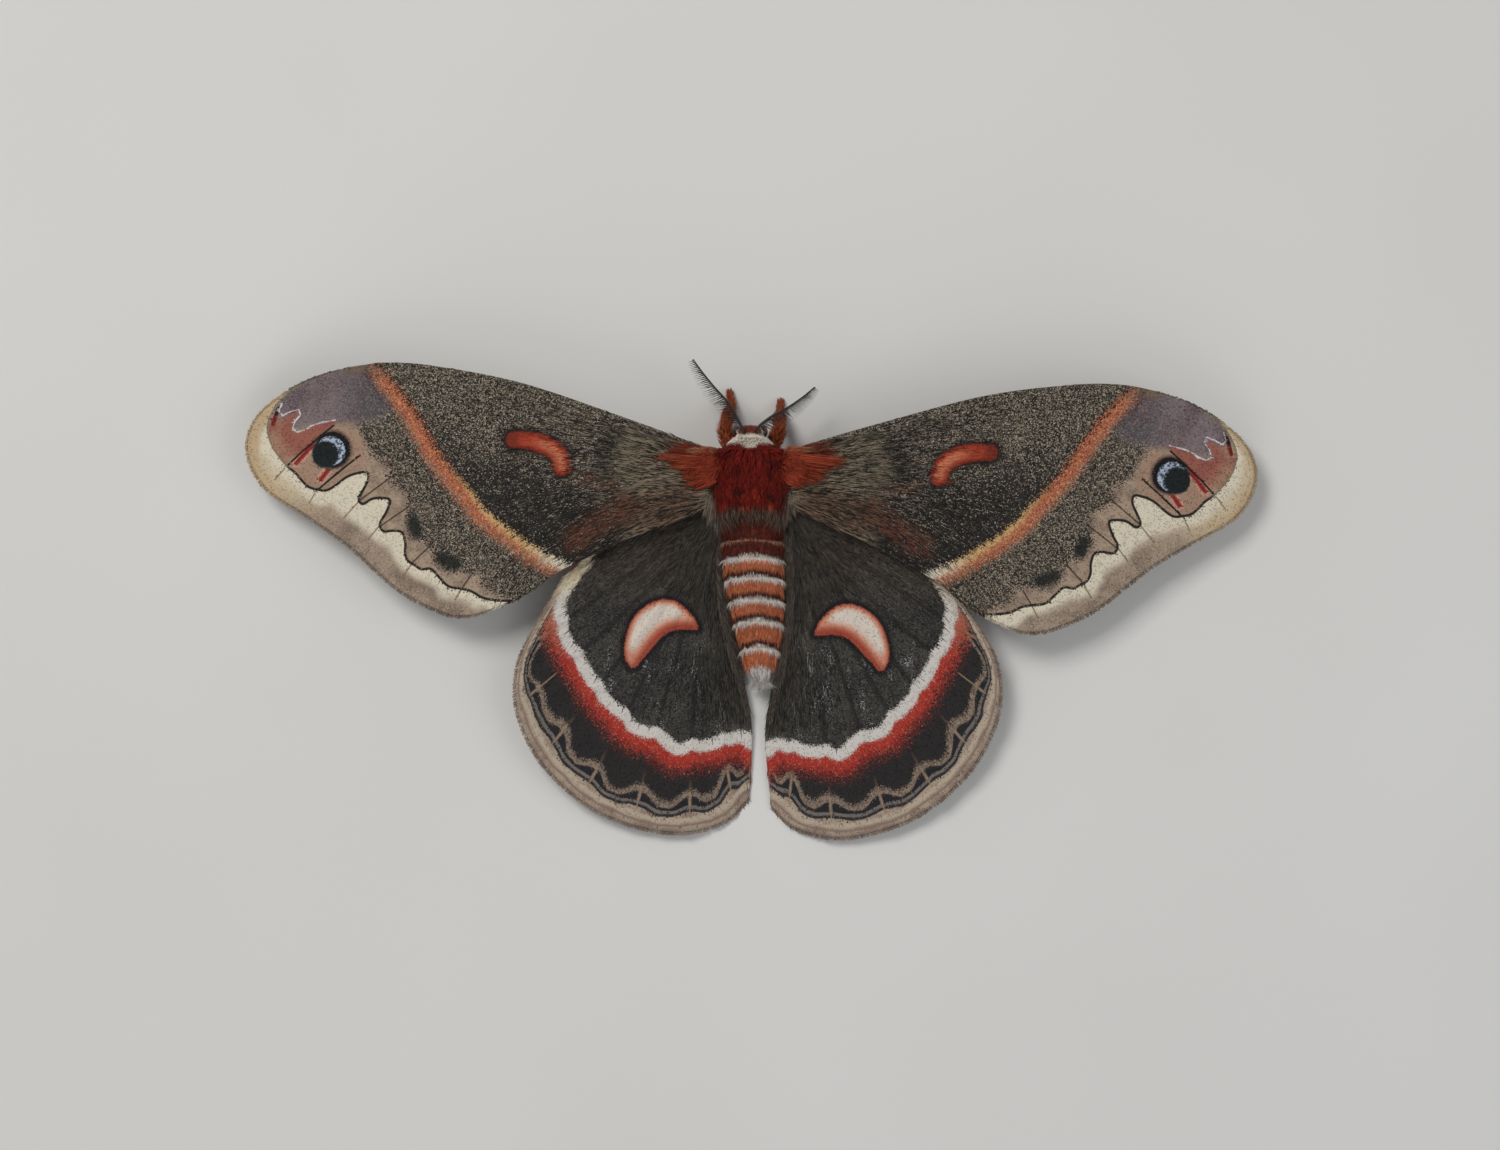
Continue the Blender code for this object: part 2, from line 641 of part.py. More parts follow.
def collar_locks(group):
    """The pale ruff: locks that stand out round the upper half of the collar."""
    locks = []
    for number in range(COLLAR_LOCKS):
        place = (number + 0.5) / COLLAR_LOCKS
        angle = math.radians(COLLAR_LOCK_REACH * (2 * place - 1))
        here, _ = on_body(COLLAR_SHAPE, level_line(COLLAR_UP), COLLAR_FLATTEN, COLLAR_LOCK_AHEAD, angle)
        away = Vector((math.sin(angle), 0.0, math.cos(angle)))
        heading = (away * 0.8 + Vector((0.0, -0.6, 0.0))).normalized()
        length, width, lift = COLLAR_LOCK
        bm = lock(
            here - heading * 0.5 + Vector((0.0, 0.25, 0.0)), heading, Vector((0.0, 0.8, 0.0)) + away * 0.6,
            length * random.uniform(0.88, 1.08), width, lift, COLLAR_LOCK_THICK,
        )
        locks.append(finish(bm, "lock", "white_fur", group))
    return locks


def tail_locks(group):
    """The tuft round the end of the abdomen."""
    locks = []
    for number in range(TAIL_LOCKS):
        angle = math.tau * (number + 0.5) / TAIL_LOCKS
        spot = on_body(ABDOMEN_SHAPE, ABDOMEN_LINE, ABDOMEN_FLATTEN, TAIL_LOCK_AHEAD, angle)
        locks.append(body_lock(spot, Vector((0.07, -1.0, 0.02)), TAIL_LOCK, group))
    return locks


def tegula_locks(side, group):
    """Long fur that fans out from the wing base and lies just above the forewing."""
    locks = []
    for out, ahead, length, turn, tier in TEGULA_LOCKS:
        bm = flat_bar()
        heading = Vector((math.cos(turn), math.sin(turn)))
        for vert in bm.verts:
            share = vert.co.y + 0.5
            width = TEGULA_LOCK_WIDTH * (1.0 - LOCK_TAPER * share ** LOCK_TAPER_POWER)
            flat = Vector((out, ahead)) + heading * length * share
            flat += Vector((-heading.y, heading.x)) * -vert.co.x * width
            arch = TEGULA_LOCK_ARCH * (1.0 + tier) * math.sin(math.pi * share * 0.9)
            above = TEGULA_LOCK_LIFT + arch * (1.0 - 0.6 * share) + TEGULA_TIER_LIFT * tier * (1.0 - share)
            up = fore_height(flat.x, flat.y) + above + vert.co.z * LOCK_THICK * (1.0 - 0.5 * share)
            placed_out, placed_ahead = held("fore", side, flat.x, flat.y)
            vert.co = (SIDES[side] * placed_out, placed_ahead, up)
        locks.append(finish(bm, "lock", "orange_fur", group))
    return locks


def eye(side, group, grow=0.0):
    """An eye. grow makes a cutter that clears it."""
    bm = bmesh.new()
    bmesh.ops.create_uvsphere(
        bm, u_segments=ROUND_SIDES, v_segments=ROUND_RINGS, radius=EYE_RADIUS + grow,
    )
    out, ahead, up = EYE_PLACE
    bmesh.ops.translate(bm, vec=(SIDES[side] * out, ahead, up), verts=bm.verts)
    return finish(bm, f"eye_{side}", "eye", group)


def head(group):
    """The head with its palps and the crest between the antennae, but not its eyes."""
    bm = turned(HEAD_SHAPE)
    place_body(bm, level_line(HEAD_UP), HEAD_FLATTEN)
    face = finish(bm, "head", "red_fur", group)
    pieces = []
    for side in SIDES.values():
        route = [(side * out, ahead, up) for out, ahead, up in PALP_ROUTE]
        pieces.append(finish(tube(route, PALP_RADII, 1), "palp", "red_fur", group))
    for number in range(CREST_LOCKS):
        angle = math.radians(CREST_REACH * (2 * number / (CREST_LOCKS - 1) - 1))
        spot = on_body(HEAD_SHAPE, level_line(HEAD_UP), HEAD_FLATTEN, CREST_AHEAD, angle * 0.6)
        pieces.append(body_lock(spot, Vector((0.8 * math.sin(angle), 1.0, 0.0)), CREST_LOCK, group))
    combine(face, "UNION", pieces)
    return face


def collar(group):
    """The collar with its ruff."""
    bm = turned(COLLAR_SHAPE)
    place_body(bm, level_line(COLLAR_UP), COLLAR_FLATTEN)
    combine(finish(bm, "collar", "white_fur", group), "UNION", collar_locks(group))


def abdomen_room(group):
    """A cutter that keeps the last fur of the thorax clear of the abdomen."""
    stations = [(ahead, radius + GAP) for ahead, radius in ABDOMEN_SHAPE]
    front, radius = stations[-1]
    stations.append((front + GAP * 0.9, radius))
    bm = turned(stations)
    place_body(bm, ABDOMEN_LINE, ABDOMEN_FLATTEN)
    return finish(bm, "room", "banded_fur", group)


def abdomen(group):
    """The abdomen, whose rings are bulges between grooves."""
    stations = []
    ends = sorted(SEGMENT_ENDS)
    for rear, front in zip(ends, ends[1:]):
        for share, groove in SEGMENT_BULGE:
            ahead = rear + (front - rear) * share
            stations.append((ahead, smooth_at(ABDOMEN_SHAPE, ahead) - SEGMENT_GROOVE * groove))
    stations.append(ABDOMEN_SHAPE[-1])
    bm = turned(stations)
    place_body(bm, ABDOMEN_LINE, ABDOMEN_FLATTEN)
    stand_on_floor(bm)
    return finish(bm, "abdomen", "banded_fur", group)


def main():
    clear_scene()
    random.seed(SEED)
    moth = new_collection("cecropia_moth")
    body = thorax(moth)
    belly = abdomen(moth)
    face = head(moth)
    collar(moth)
    cutters = [abdomen_room(moth)]
    for side in SIDES:
        cover = tegula_core(side, moth)
        combine(cover, "UNION", tegula_locks(side, moth))
        combine(cover, "DIFFERENCE", [thorax(moth, GAP), applied(wing("fore", side, moth, GAP))])
        for pair in WINGS:
            wing(pair, side, moth)
            cutters.append(applied(wing(pair, side, moth, GAP)))
        cutters.append(tegula_core(side, moth, GAP))
        eye(side, moth)
        combine(face, "DIFFERENCE", [eye(side, moth, GAP)])
        antenna(side, moth)
        for pair in ("front", "middle", "hind"):
            leg(pair, side, moth)
            cutters.append(femur_room(pair, side, moth))
    combine(body, "UNION", thorax_locks(moth))
    combine(body, "DIFFERENCE", cutters)
    combine(belly, "UNION", tail_locks(moth))
    combine(belly, "DIFFERENCE", [applied(wing("hind", side, moth, GAP)) for side in SIDES])


main()
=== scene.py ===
# %% [markdown]
# # A cecropia moth, life size
# This lesson dresses a finished set of plain solids as a cecropia moth at rest. The solids give every
# size and place. We add what they leave out: scaled wings with their markings, a furry coat, feathered
# antennae, faceted eyes and jointed legs. The moth faces +Y, and its back is up.

# %% Load the frame
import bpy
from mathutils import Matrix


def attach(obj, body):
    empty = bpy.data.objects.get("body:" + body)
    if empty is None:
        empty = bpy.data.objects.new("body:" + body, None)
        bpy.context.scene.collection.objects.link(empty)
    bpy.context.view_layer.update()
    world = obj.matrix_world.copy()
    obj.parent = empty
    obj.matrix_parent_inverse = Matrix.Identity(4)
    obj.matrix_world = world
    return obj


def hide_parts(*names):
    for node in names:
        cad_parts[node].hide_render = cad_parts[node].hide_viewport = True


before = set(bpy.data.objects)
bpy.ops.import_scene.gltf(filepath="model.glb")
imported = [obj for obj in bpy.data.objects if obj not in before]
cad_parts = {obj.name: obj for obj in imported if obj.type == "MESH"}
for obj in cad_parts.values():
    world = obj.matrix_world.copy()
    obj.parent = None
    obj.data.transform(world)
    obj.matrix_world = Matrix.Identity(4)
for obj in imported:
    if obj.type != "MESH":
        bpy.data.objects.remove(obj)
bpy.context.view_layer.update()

# %% Tools of the lesson
import math

import bmesh
import bpy
import numpy as np
from mathutils import Vector

MM = 0.001
BODY = "root"
SIDES = {"left": -1.0, "right": 1.0}
random = np.random.default_rng(73)

# %% [markdown]
# ## Camera and light
# The photograph looks straight at the moth's back. Our moth stands on a floor, so the camera hangs
# over it and looks down. Three large soft lamps and a pale sky leave no hard shadow on the floor.

# %% Camera
IMAGE_WIDTH = 1500
MM_PER_PIXEL = 0.1443
LENS = 100.0
SENSOR = 36.0
PICTURE_CENTRE = (0.0, 3.75 * MM)
picture_width = IMAGE_WIDTH * MM_PER_PIXEL * MM
wing_level = 7.5 * MM
camera_height = picture_width * LENS / SENSOR + wing_level

camera_data = bpy.data.cameras.new("camera")
camera_data.lens = LENS
camera_data.sensor_width = SENSOR
camera_data.clip_start = 0.01
camera = bpy.data.objects.new("camera", camera_data)
camera.location = (*PICTURE_CENTRE, camera_height)
bpy.context.scene.collection.objects.link(camera)
bpy.context.scene.camera = camera
print("camera height:", round(camera_height, 4))


# %% Lamps
def add_lamp(name, place, size, power, colour):
    """A square lamp that faces the moth."""
    data = bpy.data.lights.new(name, "AREA")
    data.size = size
    data.energy = power
    data.color = colour
    lamp = bpy.data.objects.new(name, data)
    lamp.location = place
    lamp.rotation_euler = (-Vector(place)).to_track_quat("-Z", "Y").to_euler()
    bpy.context.scene.collection.objects.link(lamp)
    return lamp


add_lamp("key_lamp", (-0.35, 0.42, 0.75), 0.35, 4.3, (1.0, 0.98, 0.95))
add_lamp("fill_lamp", (0.6, -0.1, 0.55), 0.6, 1.2, (0.95, 0.97, 1.0))
add_lamp("low_lamp", (-0.1, -0.6, 0.4), 0.5, 0.8, (1.0, 1.0, 1.0))
sky = bpy.data.worlds.new("soft_sky")
sky.use_nodes = True
sky.node_tree.nodes["Background"].inputs["Color"].default_value = (0.92, 0.95, 1.0, 1.0)
sky.node_tree.nodes["Background"].inputs["Strength"].default_value = 0.27
bpy.context.scene.world = sky
bpy.context.scene.view_settings.view_transform = "Standard"


# %% [markdown]
# ## A painter for markings
# The markings of a moth are built of tiny scales, each of one colour, so an edge between two colours is
# never a clean line. We store on each point how far it is from a marking's line, and the material
# turns that distance into a mask. A random value for each scale, added to the distance, breaks the edge up.

# %% The painter
def shade(red, green, blue):
    """A colour as seen on a screen, from 0 to 255, as the linear values a shader takes."""
    seen = np.array((red, green, blue)) / 255.0
    linear = np.where(seen <= 0.04045, seen / 12.92, ((seen + 0.055) / 1.055) ** 2.4)
    return (*(float(value) for value in linear), 1.0)


class Finish:
    """A material whose colour is laid down in layers, each through a mask."""

    def __init__(self, name, **sockets):
        self.material = bpy.data.materials.new(name)
        self.material.use_nodes = True
        self.tree = self.material.node_tree
        self.shader = self.tree.nodes["Principled BSDF"]
        self.known = {}
        for socket, value in sockets.items():
            self.shader.inputs[socket.replace("_", " ")].default_value = value

    def node(self, kind, inputs, **settings):
        made = self.tree.nodes.new(kind)
        for key, value in settings.items():
            setattr(made, key, value)
        for key, value in inputs.items():
            self.feed(made.inputs[key], value)
        return made

    def feed(self, socket, value):
        if isinstance(value, bpy.types.NodeSocket):
            self.tree.links.new(value, socket)
        else:
            socket.default_value = value

    def attribute(self, name, output="Fac"):
        if name not in self.known:
            self.known[name] = self.node("ShaderNodeAttribute", {}, attribute_name=name)
        return self.known[name].outputs[output]

    def place(self):
        if "place" not in self.known:
            self.known["place"] = self.node("ShaderNodeTexCoord", {})
        return self.known["place"].outputs["Object"]

    def math(self, operation, first, second=0.0, third=0.0):
        made = self.node("ShaderNodeMath", {0: first, 1: second, 2: third}, operation=operation)
        return made.outputs[0]

    def plus(self, first, second):
        return self.math("ADD", first, second)

    def less(self, first, second):
        return self.math("SUBTRACT", first, second)

    def times(self, first, second):
        return self.math("MULTIPLY", first, second)

    def frayed(self, value, grain, amount):
        """A distance with a random value added, so that the edge it draws breaks up."""
        return self.plus(value, self.times(grain, amount))

    def vector(self, operation, first, second=(0.0, 0.0, 0.0), output="Vector"):
        made = self.node("ShaderNodeVectorMath", {0: first, 1: second}, operation=operation)
        return made.outputs[output]

    def step(self, value, start, end):
        """0 below start and 1 above end, or the other way round where start is larger."""
        made = self.node(
            "ShaderNodeMapRange", {"Value": value, "From Min": start, "From Max": end},
            interpolation_type="SMOOTHSTEP",
        )
        return made.outputs["Result"]

    def between(self, value, low, high, soft):
        rising = self.step(value, low - soft, low + soft)
        return self.times(rising, self.step(value, high + soft, high - soft))

    def both(self, *masks):
        found = masks[0]
        for mask in masks[1:]:
            found = self.times(found, mask)
        return found

    def least(self, values):
        found = values[0]
        for value in values[1:]:
            found = self.math("MINIMUM", found, value)
        return found

    def noise(self, scale, detail=2.0, where=None, stretch=None):
        where = where or self.place()
        if stretch:
            where = self.vector("MULTIPLY", where, stretch)
        made = self.node("ShaderNodeTexNoise", {"Vector": where, "Scale": scale, "Detail": detail})
        return made.outputs["Fac"]

    def grains(self, scale):
        """Random values for each cell of a fine mosaic, and the mosaic's height."""
        made = self.node("ShaderNodeTexVoronoi", {"Vector": self.place(), "Scale": scale})
        parts = self.node("ShaderNodeSeparateColor", {"Color": made.outputs["Color"]})
        return parts, made.outputs["Distance"]

    def mix(self, under, over, mask):
        made = self.node("ShaderNodeMix", {0: mask, 6: under, 7: over}, data_type="RGBA")
        return made.outputs[2]

    def brighten(self, colour, factor):
        made = self.node("ShaderNodeVectorMath", {0: colour, "Scale": factor}, operation="SCALE")
        return made.outputs["Vector"]

    def ramp(self, value, stops):
        """A colour for each value, from (value, colour) stops between 0 and 1."""
        made = self.node("ShaderNodeValToRGB", {"Fac": value})
        while len(made.color_ramp.elements) < len(stops):
            made.color_ramp.elements.new(0.5)
        for element, (position, colour) in zip(made.color_ramp.elements, sorted(stops)):
            element.position = position
        for element, (position, colour) in zip(made.color_ramp.elements, sorted(stops)):
            element.color = colour
        return made.outputs["Color"]

    def capsule(self, where, start, end):
        """The distance from a short straight line on the wing."""
        start, end = np.array((*start, 0.0)), np.array((*end, 0.0))
        span = end - start
        from_start = self.vector("SUBTRACT", where, tuple(start))
        along = self.vector("DOT_PRODUCT", from_start, tuple(span / (span @ span)), "Value")
        held_along = self.node("ShaderNodeClamp", {"Value": along}).outputs[0]
        nearest = self.brighten(tuple(span), held_along)
        return self.vector("LENGTH", self.vector("SUBTRACT", from_start, nearest), output="Value")

    def nearest(self, where, lines):
        """The distance from the nearest of several short lines."""
        return self.least([self.capsule(where, *line) for line in lines])

    def away(self, where, centre):
        """The distance from a point on the wing."""
        return self.vector("LENGTH", self.vector("SUBTRACT", where, (*centre, 0.0)), output="Value")

    def part(self, vector, axis):
        return self.node("ShaderNodeSeparateXYZ", {"Vector": vector}).outputs[axis]

    def side_of(self, where, start, end):
        """The distance to the left of a straight line on the wing."""
        start, end = np.array((*start, 0.0)), np.array((*end, 0.0))
        span = (end - start) / np.linalg.norm(end - start)
        left = (-span[1], span[0], 0.0)
        return self.vector("DOT_PRODUCT", self.vector("SUBTRACT", where, tuple(start)), left, "Value")

    def colour(self, socket):
        self.feed(self.shader.inputs["Base Color"], socket)

    def bump(self, height, distance, strength):
        made = self.node("ShaderNodeBump", {"Height": height, "Distance": distance, "Strength": strength})
        self.feed(self.shader.inputs["Normal"], made.outputs["Normal"])


# %% [markdown]
# ## The floor
# A pale floor with a very faint mottle keeps the eye on the moth.

# %% Floor
def mesh_of(bm, name, *finishes):
    """A bmesh as a finished mesh, shaded smooth, with its materials."""
    mesh = bpy.data.meshes.new(name)
    bm.to_mesh(mesh)
    bm.free()
    mesh.shade_smooth()
    for finish in finishes:
        mesh.materials.append(finish)
    return mesh


FLOOR_SIZE = 1.2
f = Finish("pale_floor", Roughness=0.8)
f.colour(f.mix(shade(216, 214, 210), shade(224, 223, 220), f.noise(14.0)))
bm = bmesh.new()
bmesh.ops.create_grid(bm, x_segments=8, y_segments=8, size=FLOOR_SIZE)
floor = bpy.data.objects.new("floor", mesh_of(bm, "floor", f.material))
bpy.context.scene.collection.objects.link(floor)
print("floor faces:", len(floor.data.polygons))

# %% [markdown]
# ## Smooth lines
# Outlines, veins and markings are all smooth lines through a few points. One helper reads a value
# along stations, and another walks along a line by its length.


# %% Lines through points
def smooth_at(stations, where):
    """Values at some places between stations of (place, value...), along a smooth line."""
    stations = np.array(stations, float)
    stations = stations[np.argsort(stations[:, 0], kind="stable")]
    places, values = stations[:, 0], stations[:, 1:]
    slopes = np.empty_like(values)
    slopes[1:-1] = (values[2:] - values[:-2]) / (places[2:] - places[:-2])[:, None]
    slopes[0] = (values[1] - values[0]) / (places[1] - places[0])
    slopes[-1] = (values[-1] - values[-2]) / (places[-1] - places[-2])
    where = np.clip(np.atleast_1d(where), places[0], places[-1])
    after = np.clip(np.searchsorted(places, where, side="right"), 1, len(places) - 1)
    span = (places[after] - places[after - 1])[:, None]
    s = (where[:, None] - places[after - 1][:, None]) / span
    before = after - 1
    return (
        (2 * s ** 3 - 3 * s ** 2 + 1) * values[before] + (s ** 3 - 2 * s ** 2 + s) * span * slopes[before]
        + (3 * s ** 2 - 2 * s ** 3) * values[after] + (s ** 3 - s ** 2) * span * slopes[after]
    )


def through(points, share):
    """Points at shares of the length of a smooth line."""
    points = np.array(points, float)
    steps = np.linalg.norm(np.diff(points, axis=0), axis=1)
    length = np.concatenate([[0.0], np.cumsum(steps)])
    return smooth_at(np.column_stack([length, points]), np.atleast_1d(share) * length[-1])


def line_field(points, line, count=160):
    """How far points are to the left of a smooth line, and how far along it they are."""
    line = through(line, np.linspace(0.0, 1.0, count)) if count else np.array(line, float)
    nearest = np.full(len(points), np.inf)
    square = np.zeros(len(points))
    signed = np.zeros(len(points))
    share = np.zeros(len(points))
    for number, (start, end) in enumerate(zip(line, line[1:])):
        span = end - start
        length = np.hypot(*span)
        offset = points - start
        along = np.clip(offset @ span / length ** 2, 0.0, 1.0)
        gap = np.hypot(*(offset - along[:, None] * span).T)
        left = (span[0] * offset[:, 1] - span[1] * offset[:, 0]) / length
        closer = (gap < nearest - 1e-7) | ((gap < nearest + 1e-7) & (np.abs(left) > square))
        nearest = np.where(closer, gap, nearest)
        square = np.where(closer, np.abs(left), square)
        signed = np.where(closer, np.where(left >= 0.0, gap, -gap), signed)
        share = np.where(closer, (number + along) / (len(line) - 1), share)
    return signed, share


print("half way from 0 to 10:", smooth_at(((0, 0.0), (5, 5.0), (10, 10.0)), 5.0)[0, 0])

# %% [markdown]
# ## The wings' shape
# A wing is a sheet stretched on veins that fan out from its root. We lay a grid on it whose columns
# run along the veins and whose rows run from root to margin. The outlines, veins and heights repeat
# those of the solids, on a wing held straight out. Then each wing is turned into its place.

# %% Wing outlines and veins
FORE_COSTA = ((4.4, 21.4), (19.3, 26.2), (33.7, 30.5), (47.0, 32.6), (53.4, 32.75), (58.2, 31.95))
FORE_OUTER = (
    (58.2, 31.95), (62.7, 30.6), (66.9, 28.5), (71.6, 24.4), (73.0, 19.8), (70.5, 14.6), (63.6, 10.2),
    (57.9, 6.5), (50.5, 0.4), (46.2, -1.9), (42.3, -3.2), (38.7, -2.9), (32.0, 0.2), (27.0, 3.9),
)
FORE_INNER = ((4.5, 14.6), (8.5, 12.4), (16.5, 9.0), (27.0, 3.9))
HIND_COSTA = ((4.5, 14.3), (14.0, 12.2), (22.5, 7.6), (27.4, 3.6))
HIND_OUTER = (
    (27.4, 3.6), (31.0, -2.2), (34.2, -8.0), (35.1, -13.5), (33.9, -19.0), (30.2, -25.1),
    (23.3, -30.9), (15.5, -33.7), (9.6, -34.0), (4.7, -32.4), (1.6, -29.4),
)
HIND_INNER = (
    (4.5, 11.9), (4.95, 5.0), (4.5, -3.0), (3.4, -8.2), (2.0, -13.0), (1.0, -19.0), (1.6, -29.4),
)
FORE_VEINS = (
    ((27.0, 27.3), 0.03), ((28.0, 26.2), 0.12), ((30.0, 25.2), 0.21), ((31.5, 24.2), 0.29),
    ((31.0, 22.0), 0.38), ((29.5, 19.3), 0.48), ((28.0, 16.6), 0.58), ((26.0, 14.8), 0.69),
    ((22.0, 13.4), 0.81), ((17.5, 11.2), 0.93),
)
HIND_VEINS = (
    ((16.5, 9.3), 0.06), ((15.5, 5.6), 0.19), ((14.2, 2.8), 0.32), ((12.8, 0.6), 0.45),
    ((11.0, -0.9), 0.58), ((9.4, -1.2), 0.71), ((7.6, -0.6), 0.84), ((6.1, -1.0), 0.95),
)
VEIN_BEND_AT = 0.38
WING_HOLD = {
    ("fore", "left"): (2.0, -0.1, -0.08),
    ("fore", "right"): (-2.0, 0.1, 0.08),
    ("hind", "left"): (-1.32, -0.53, 0.62),
    ("hind", "right"): (1.32, 0.53, -0.42),
}
TURN_POINT = {"fore": (5.0, 17.5), "hind": (5.0, 12.0)}


def fore_height(out, ahead):
    """Height of the forewing's middle surface, level by the body and drooping to the tip."""
    reach = np.maximum(out - 4.5, 0.0)
    behind = np.maximum(21.4 + 0.31 * reach - 0.0018 * reach ** 2 - ahead, 0.0)
    level = 9.4 + 0.9 * (1.0 - np.exp(-reach / 10.0))
    return level - 5.4 * (reach / 68.0) ** 2.2 - 1.9 * (behind / 35.0) ** 2


def hind_height(out, ahead):
    """Height of the hindwing's middle surface, falling to the rear, most beside the body."""
    behind = np.maximum(14.0 - ahead, 0.0)
    fall = 6.8 * (1.0 - np.exp(-((behind / 22.0) ** 1.3)))
    fold = 1.1 * np.exp(-((out / 7.0) ** 2)) * np.clip((behind - 9.0) / 14.0, 0.0, 1.0)
    return 7.7 - fall - fold + 0.062 * (out - 4.5)


WINGS = {
    "fore": (FORE_COSTA, FORE_OUTER, FORE_INNER, FORE_VEINS, fore_height),
    "hind": (HIND_COSTA, HIND_OUTER, HIND_INNER, HIND_VEINS, hind_height),
}
WING_LENGTH = {"fore": 70.0, "hind": 46.0}
GRID_STEP = 0.43
ROW_CROWDING = 0.88
MARGIN_PULL = 4
VEIN_RISE = {"fore": 0.09, "hind": 0.12}
PLEAT = {"fore": -0.1, "hind": -0.2}


def held(pair, side, flat):
    """Where points of a wing that is held straight out go on one side of the moth."""
    turn, shift_out, shift_ahead = WING_HOLD[(pair, side)]
    centre = np.array(TURN_POINT[pair])
    cosine, sine = math.cos(math.radians(turn)), math.sin(math.radians(turn))
    return (flat - centre) @ np.array(((cosine, sine), (-sine, cosine))) + centre + (shift_out, shift_ahead)


# %% The wing grid
def vein_route(pair, number, share):
    """A vein's points from root to margin."""
    costa, outer, inner, veins, _ = WINGS[pair]
    bend, end = veins[number]
    root_share = (3 * number + 2) / (3 * len(veins) + 1)
    root = np.array(costa[0]) * (1.0 - root_share) + np.array(inner[0]) * root_share
    finish = through(outer, end)[0]
    rest = 1.0 - VEIN_BEND_AT
    control = (np.array(bend) - rest ** 2 * root - VEIN_BEND_AT ** 2 * finish) / (2 * rest * VEIN_BEND_AT)
    share = share[:, None]
    return (1.0 - share) ** 2 * root + 2 * share * (1.0 - share) * control + share ** 2 * finish


def wing_grid(pair):
    """Rows and columns of points on a flat wing, with what the markings need to know of each."""
    costa, outer, inner, veins, _ = WINGS[pair]
    outline = through(outer, np.linspace(0.0, 1.0, 400))
    margin = np.linalg.norm(np.diff(outline, axis=0), axis=1).sum()
    rows = int(WING_LENGTH[pair] / GRID_STEP)
    share = np.linspace(0.0, 1.0, rows + 1) ** ROW_CROWDING
    routes = [through(costa, share)]
    routes += [vein_route(pair, number, share) for number in range(len(veins))]
    routes.append(through(inner, share))
    ends = [0.0, *(end for _, end in veins), 1.0]
    columns, across, cells, spans = [], [], [], []
    for number in range(len(routes) - 1):
        width = ends[number + 1] - ends[number]
        steps = max(int(round(width * margin / GRID_STEP)), 2)
        final = number == len(routes) - 2
        for fraction in np.linspace(0.0, 1.0, steps + 1)[: None if final else -1]:
            end = ends[number] + width * fraction
            line = routes[number] * (1.0 - fraction) + routes[number + 1] * fraction
            miss = through(outer, end)[0] - line[-1]
            columns.append(line + share[:, None] ** MARGIN_PULL * miss)
            across.append(end)
            cells.append(fraction)
            spans.append(np.linalg.norm(routes[number + 1] - routes[number], axis=1))
    flat = np.stack(columns, axis=1)
    spans = np.stack(spans, axis=1)
    cells = np.array(cells)
    return {
        "flat": flat,
        "share": np.repeat(share[:, None], len(across), axis=1),
        "across": np.repeat(np.array(across)[None, :], rows + 1, axis=0),
        "cell": np.repeat(1.0 - np.abs(2.0 * cells - 1.0)[None, :], rows + 1, axis=0),
        "vein": np.minimum(cells, 1.0 - cells)[None, :] * spans,
    }


grids = {pair: wing_grid(pair) for pair in WINGS}
print("wing grids:", {pair: grid["flat"].shape[:2] for pair, grid in grids.items()})

# %% [markdown]
# ## The lines of the markings
# Every marking is a line or a small shape that we can measure on the wing: the orange band, the black
# wavy line before the pale margin, the spots and streaks. They are written as a few points in
# millimetres, out from the body and ahead, and turned into distances on the grid.

# %% Lines on the forewing
BAND = (
    (54.5, 31.4), (52.6, 29.0), (50.2, 26.1), (48.3, 23.3), (46.4, 20.2), (44.0, 17.0),
    (41.3, 14.0), (39.2, 11.4), (36.0, 8.9), (32.6, 6.7), (29.3, 4.8), (26.0, 3.5),
)
WAVE = (
    (63.4, 30.8), (66.2, 28.9), (67.9, 27.5), (69.2, 25.9), (70.1, 23.8), (70.2, 22.6), (69.6, 20.6),
    (68.3, 18.7), (67.1, 17.4), (65.7, 16.3), (64.8, 15.3), (63.8, 14.5), (62.6, 14.2), (61.3, 14.1),
    (59.9, 14.9), (58.4, 16.1), (57.0, 16.7), (55.4, 16.9), (55.2, 15.8), (55.9, 14.3), (56.5, 12.9),
    (55.9, 12.3), (54.5, 13.1), (52.9, 13.3), (51.9, 13.0), (52.4, 11.3), (53.3, 9.5), (52.8, 8.5),
    (51.3, 8.6), (50.0, 8.4), (49.5, 6.9), (49.5, 5.4), (49.0, 4.3), (48.1, 3.8), (47.1, 3.2),
    (45.7, 3.3), (44.6, 2.3), (43.1, 0.9), (41.4, 0.6), (39.8, 0.3), (38.0, -0.6), (35.8, -0.9), (33.5, -0.9),
)
FIELD = (
    (58.5, 31.5), (57.6, 27.0), (56.4, 23.0), (54.3, 19.6), (51.8, 17.8), (52.2, 16.4), (50.5, 15.0),
    (49.0, 13.9), (49.0, 12.1), (49.1, 10.0), (47.6, 7.9), (46.0, 6.9), (44.7, 5.1), (43.4, 3.5),
    (40.2, 3.3), (38.3, 2.7), (37.9, 1.3), (35.8, 0.2), (33.0, -0.6),
)
ZIGZAG = (
    (68.2, 26.4), (68.6, 25.3), (68.0, 24.7), (66.9, 25.3), (65.7, 25.7), (65.4, 24.9), (66.2, 23.9),
    (66.5, 22.9), (65.8, 22.4), (64.5, 22.8), (63.7, 23.4), (62.3, 23.9), (60.3, 24.3),
)
DISCAL_SPOT = ((34.2, 22.3), (31.6, 22.2), (29.0, 21.4), (27.5, 20.1), (27.0, 18.6))
ANTEMEDIAL = ((17.0, 24.5), (18.1, 21.6), (19.2, 19.1), (17.4, 16.9), (16.0, 13.5), (17.0, 9.5))
PUPIL, PUPIL_RADIUS = (61.55, 19.3), 1.84
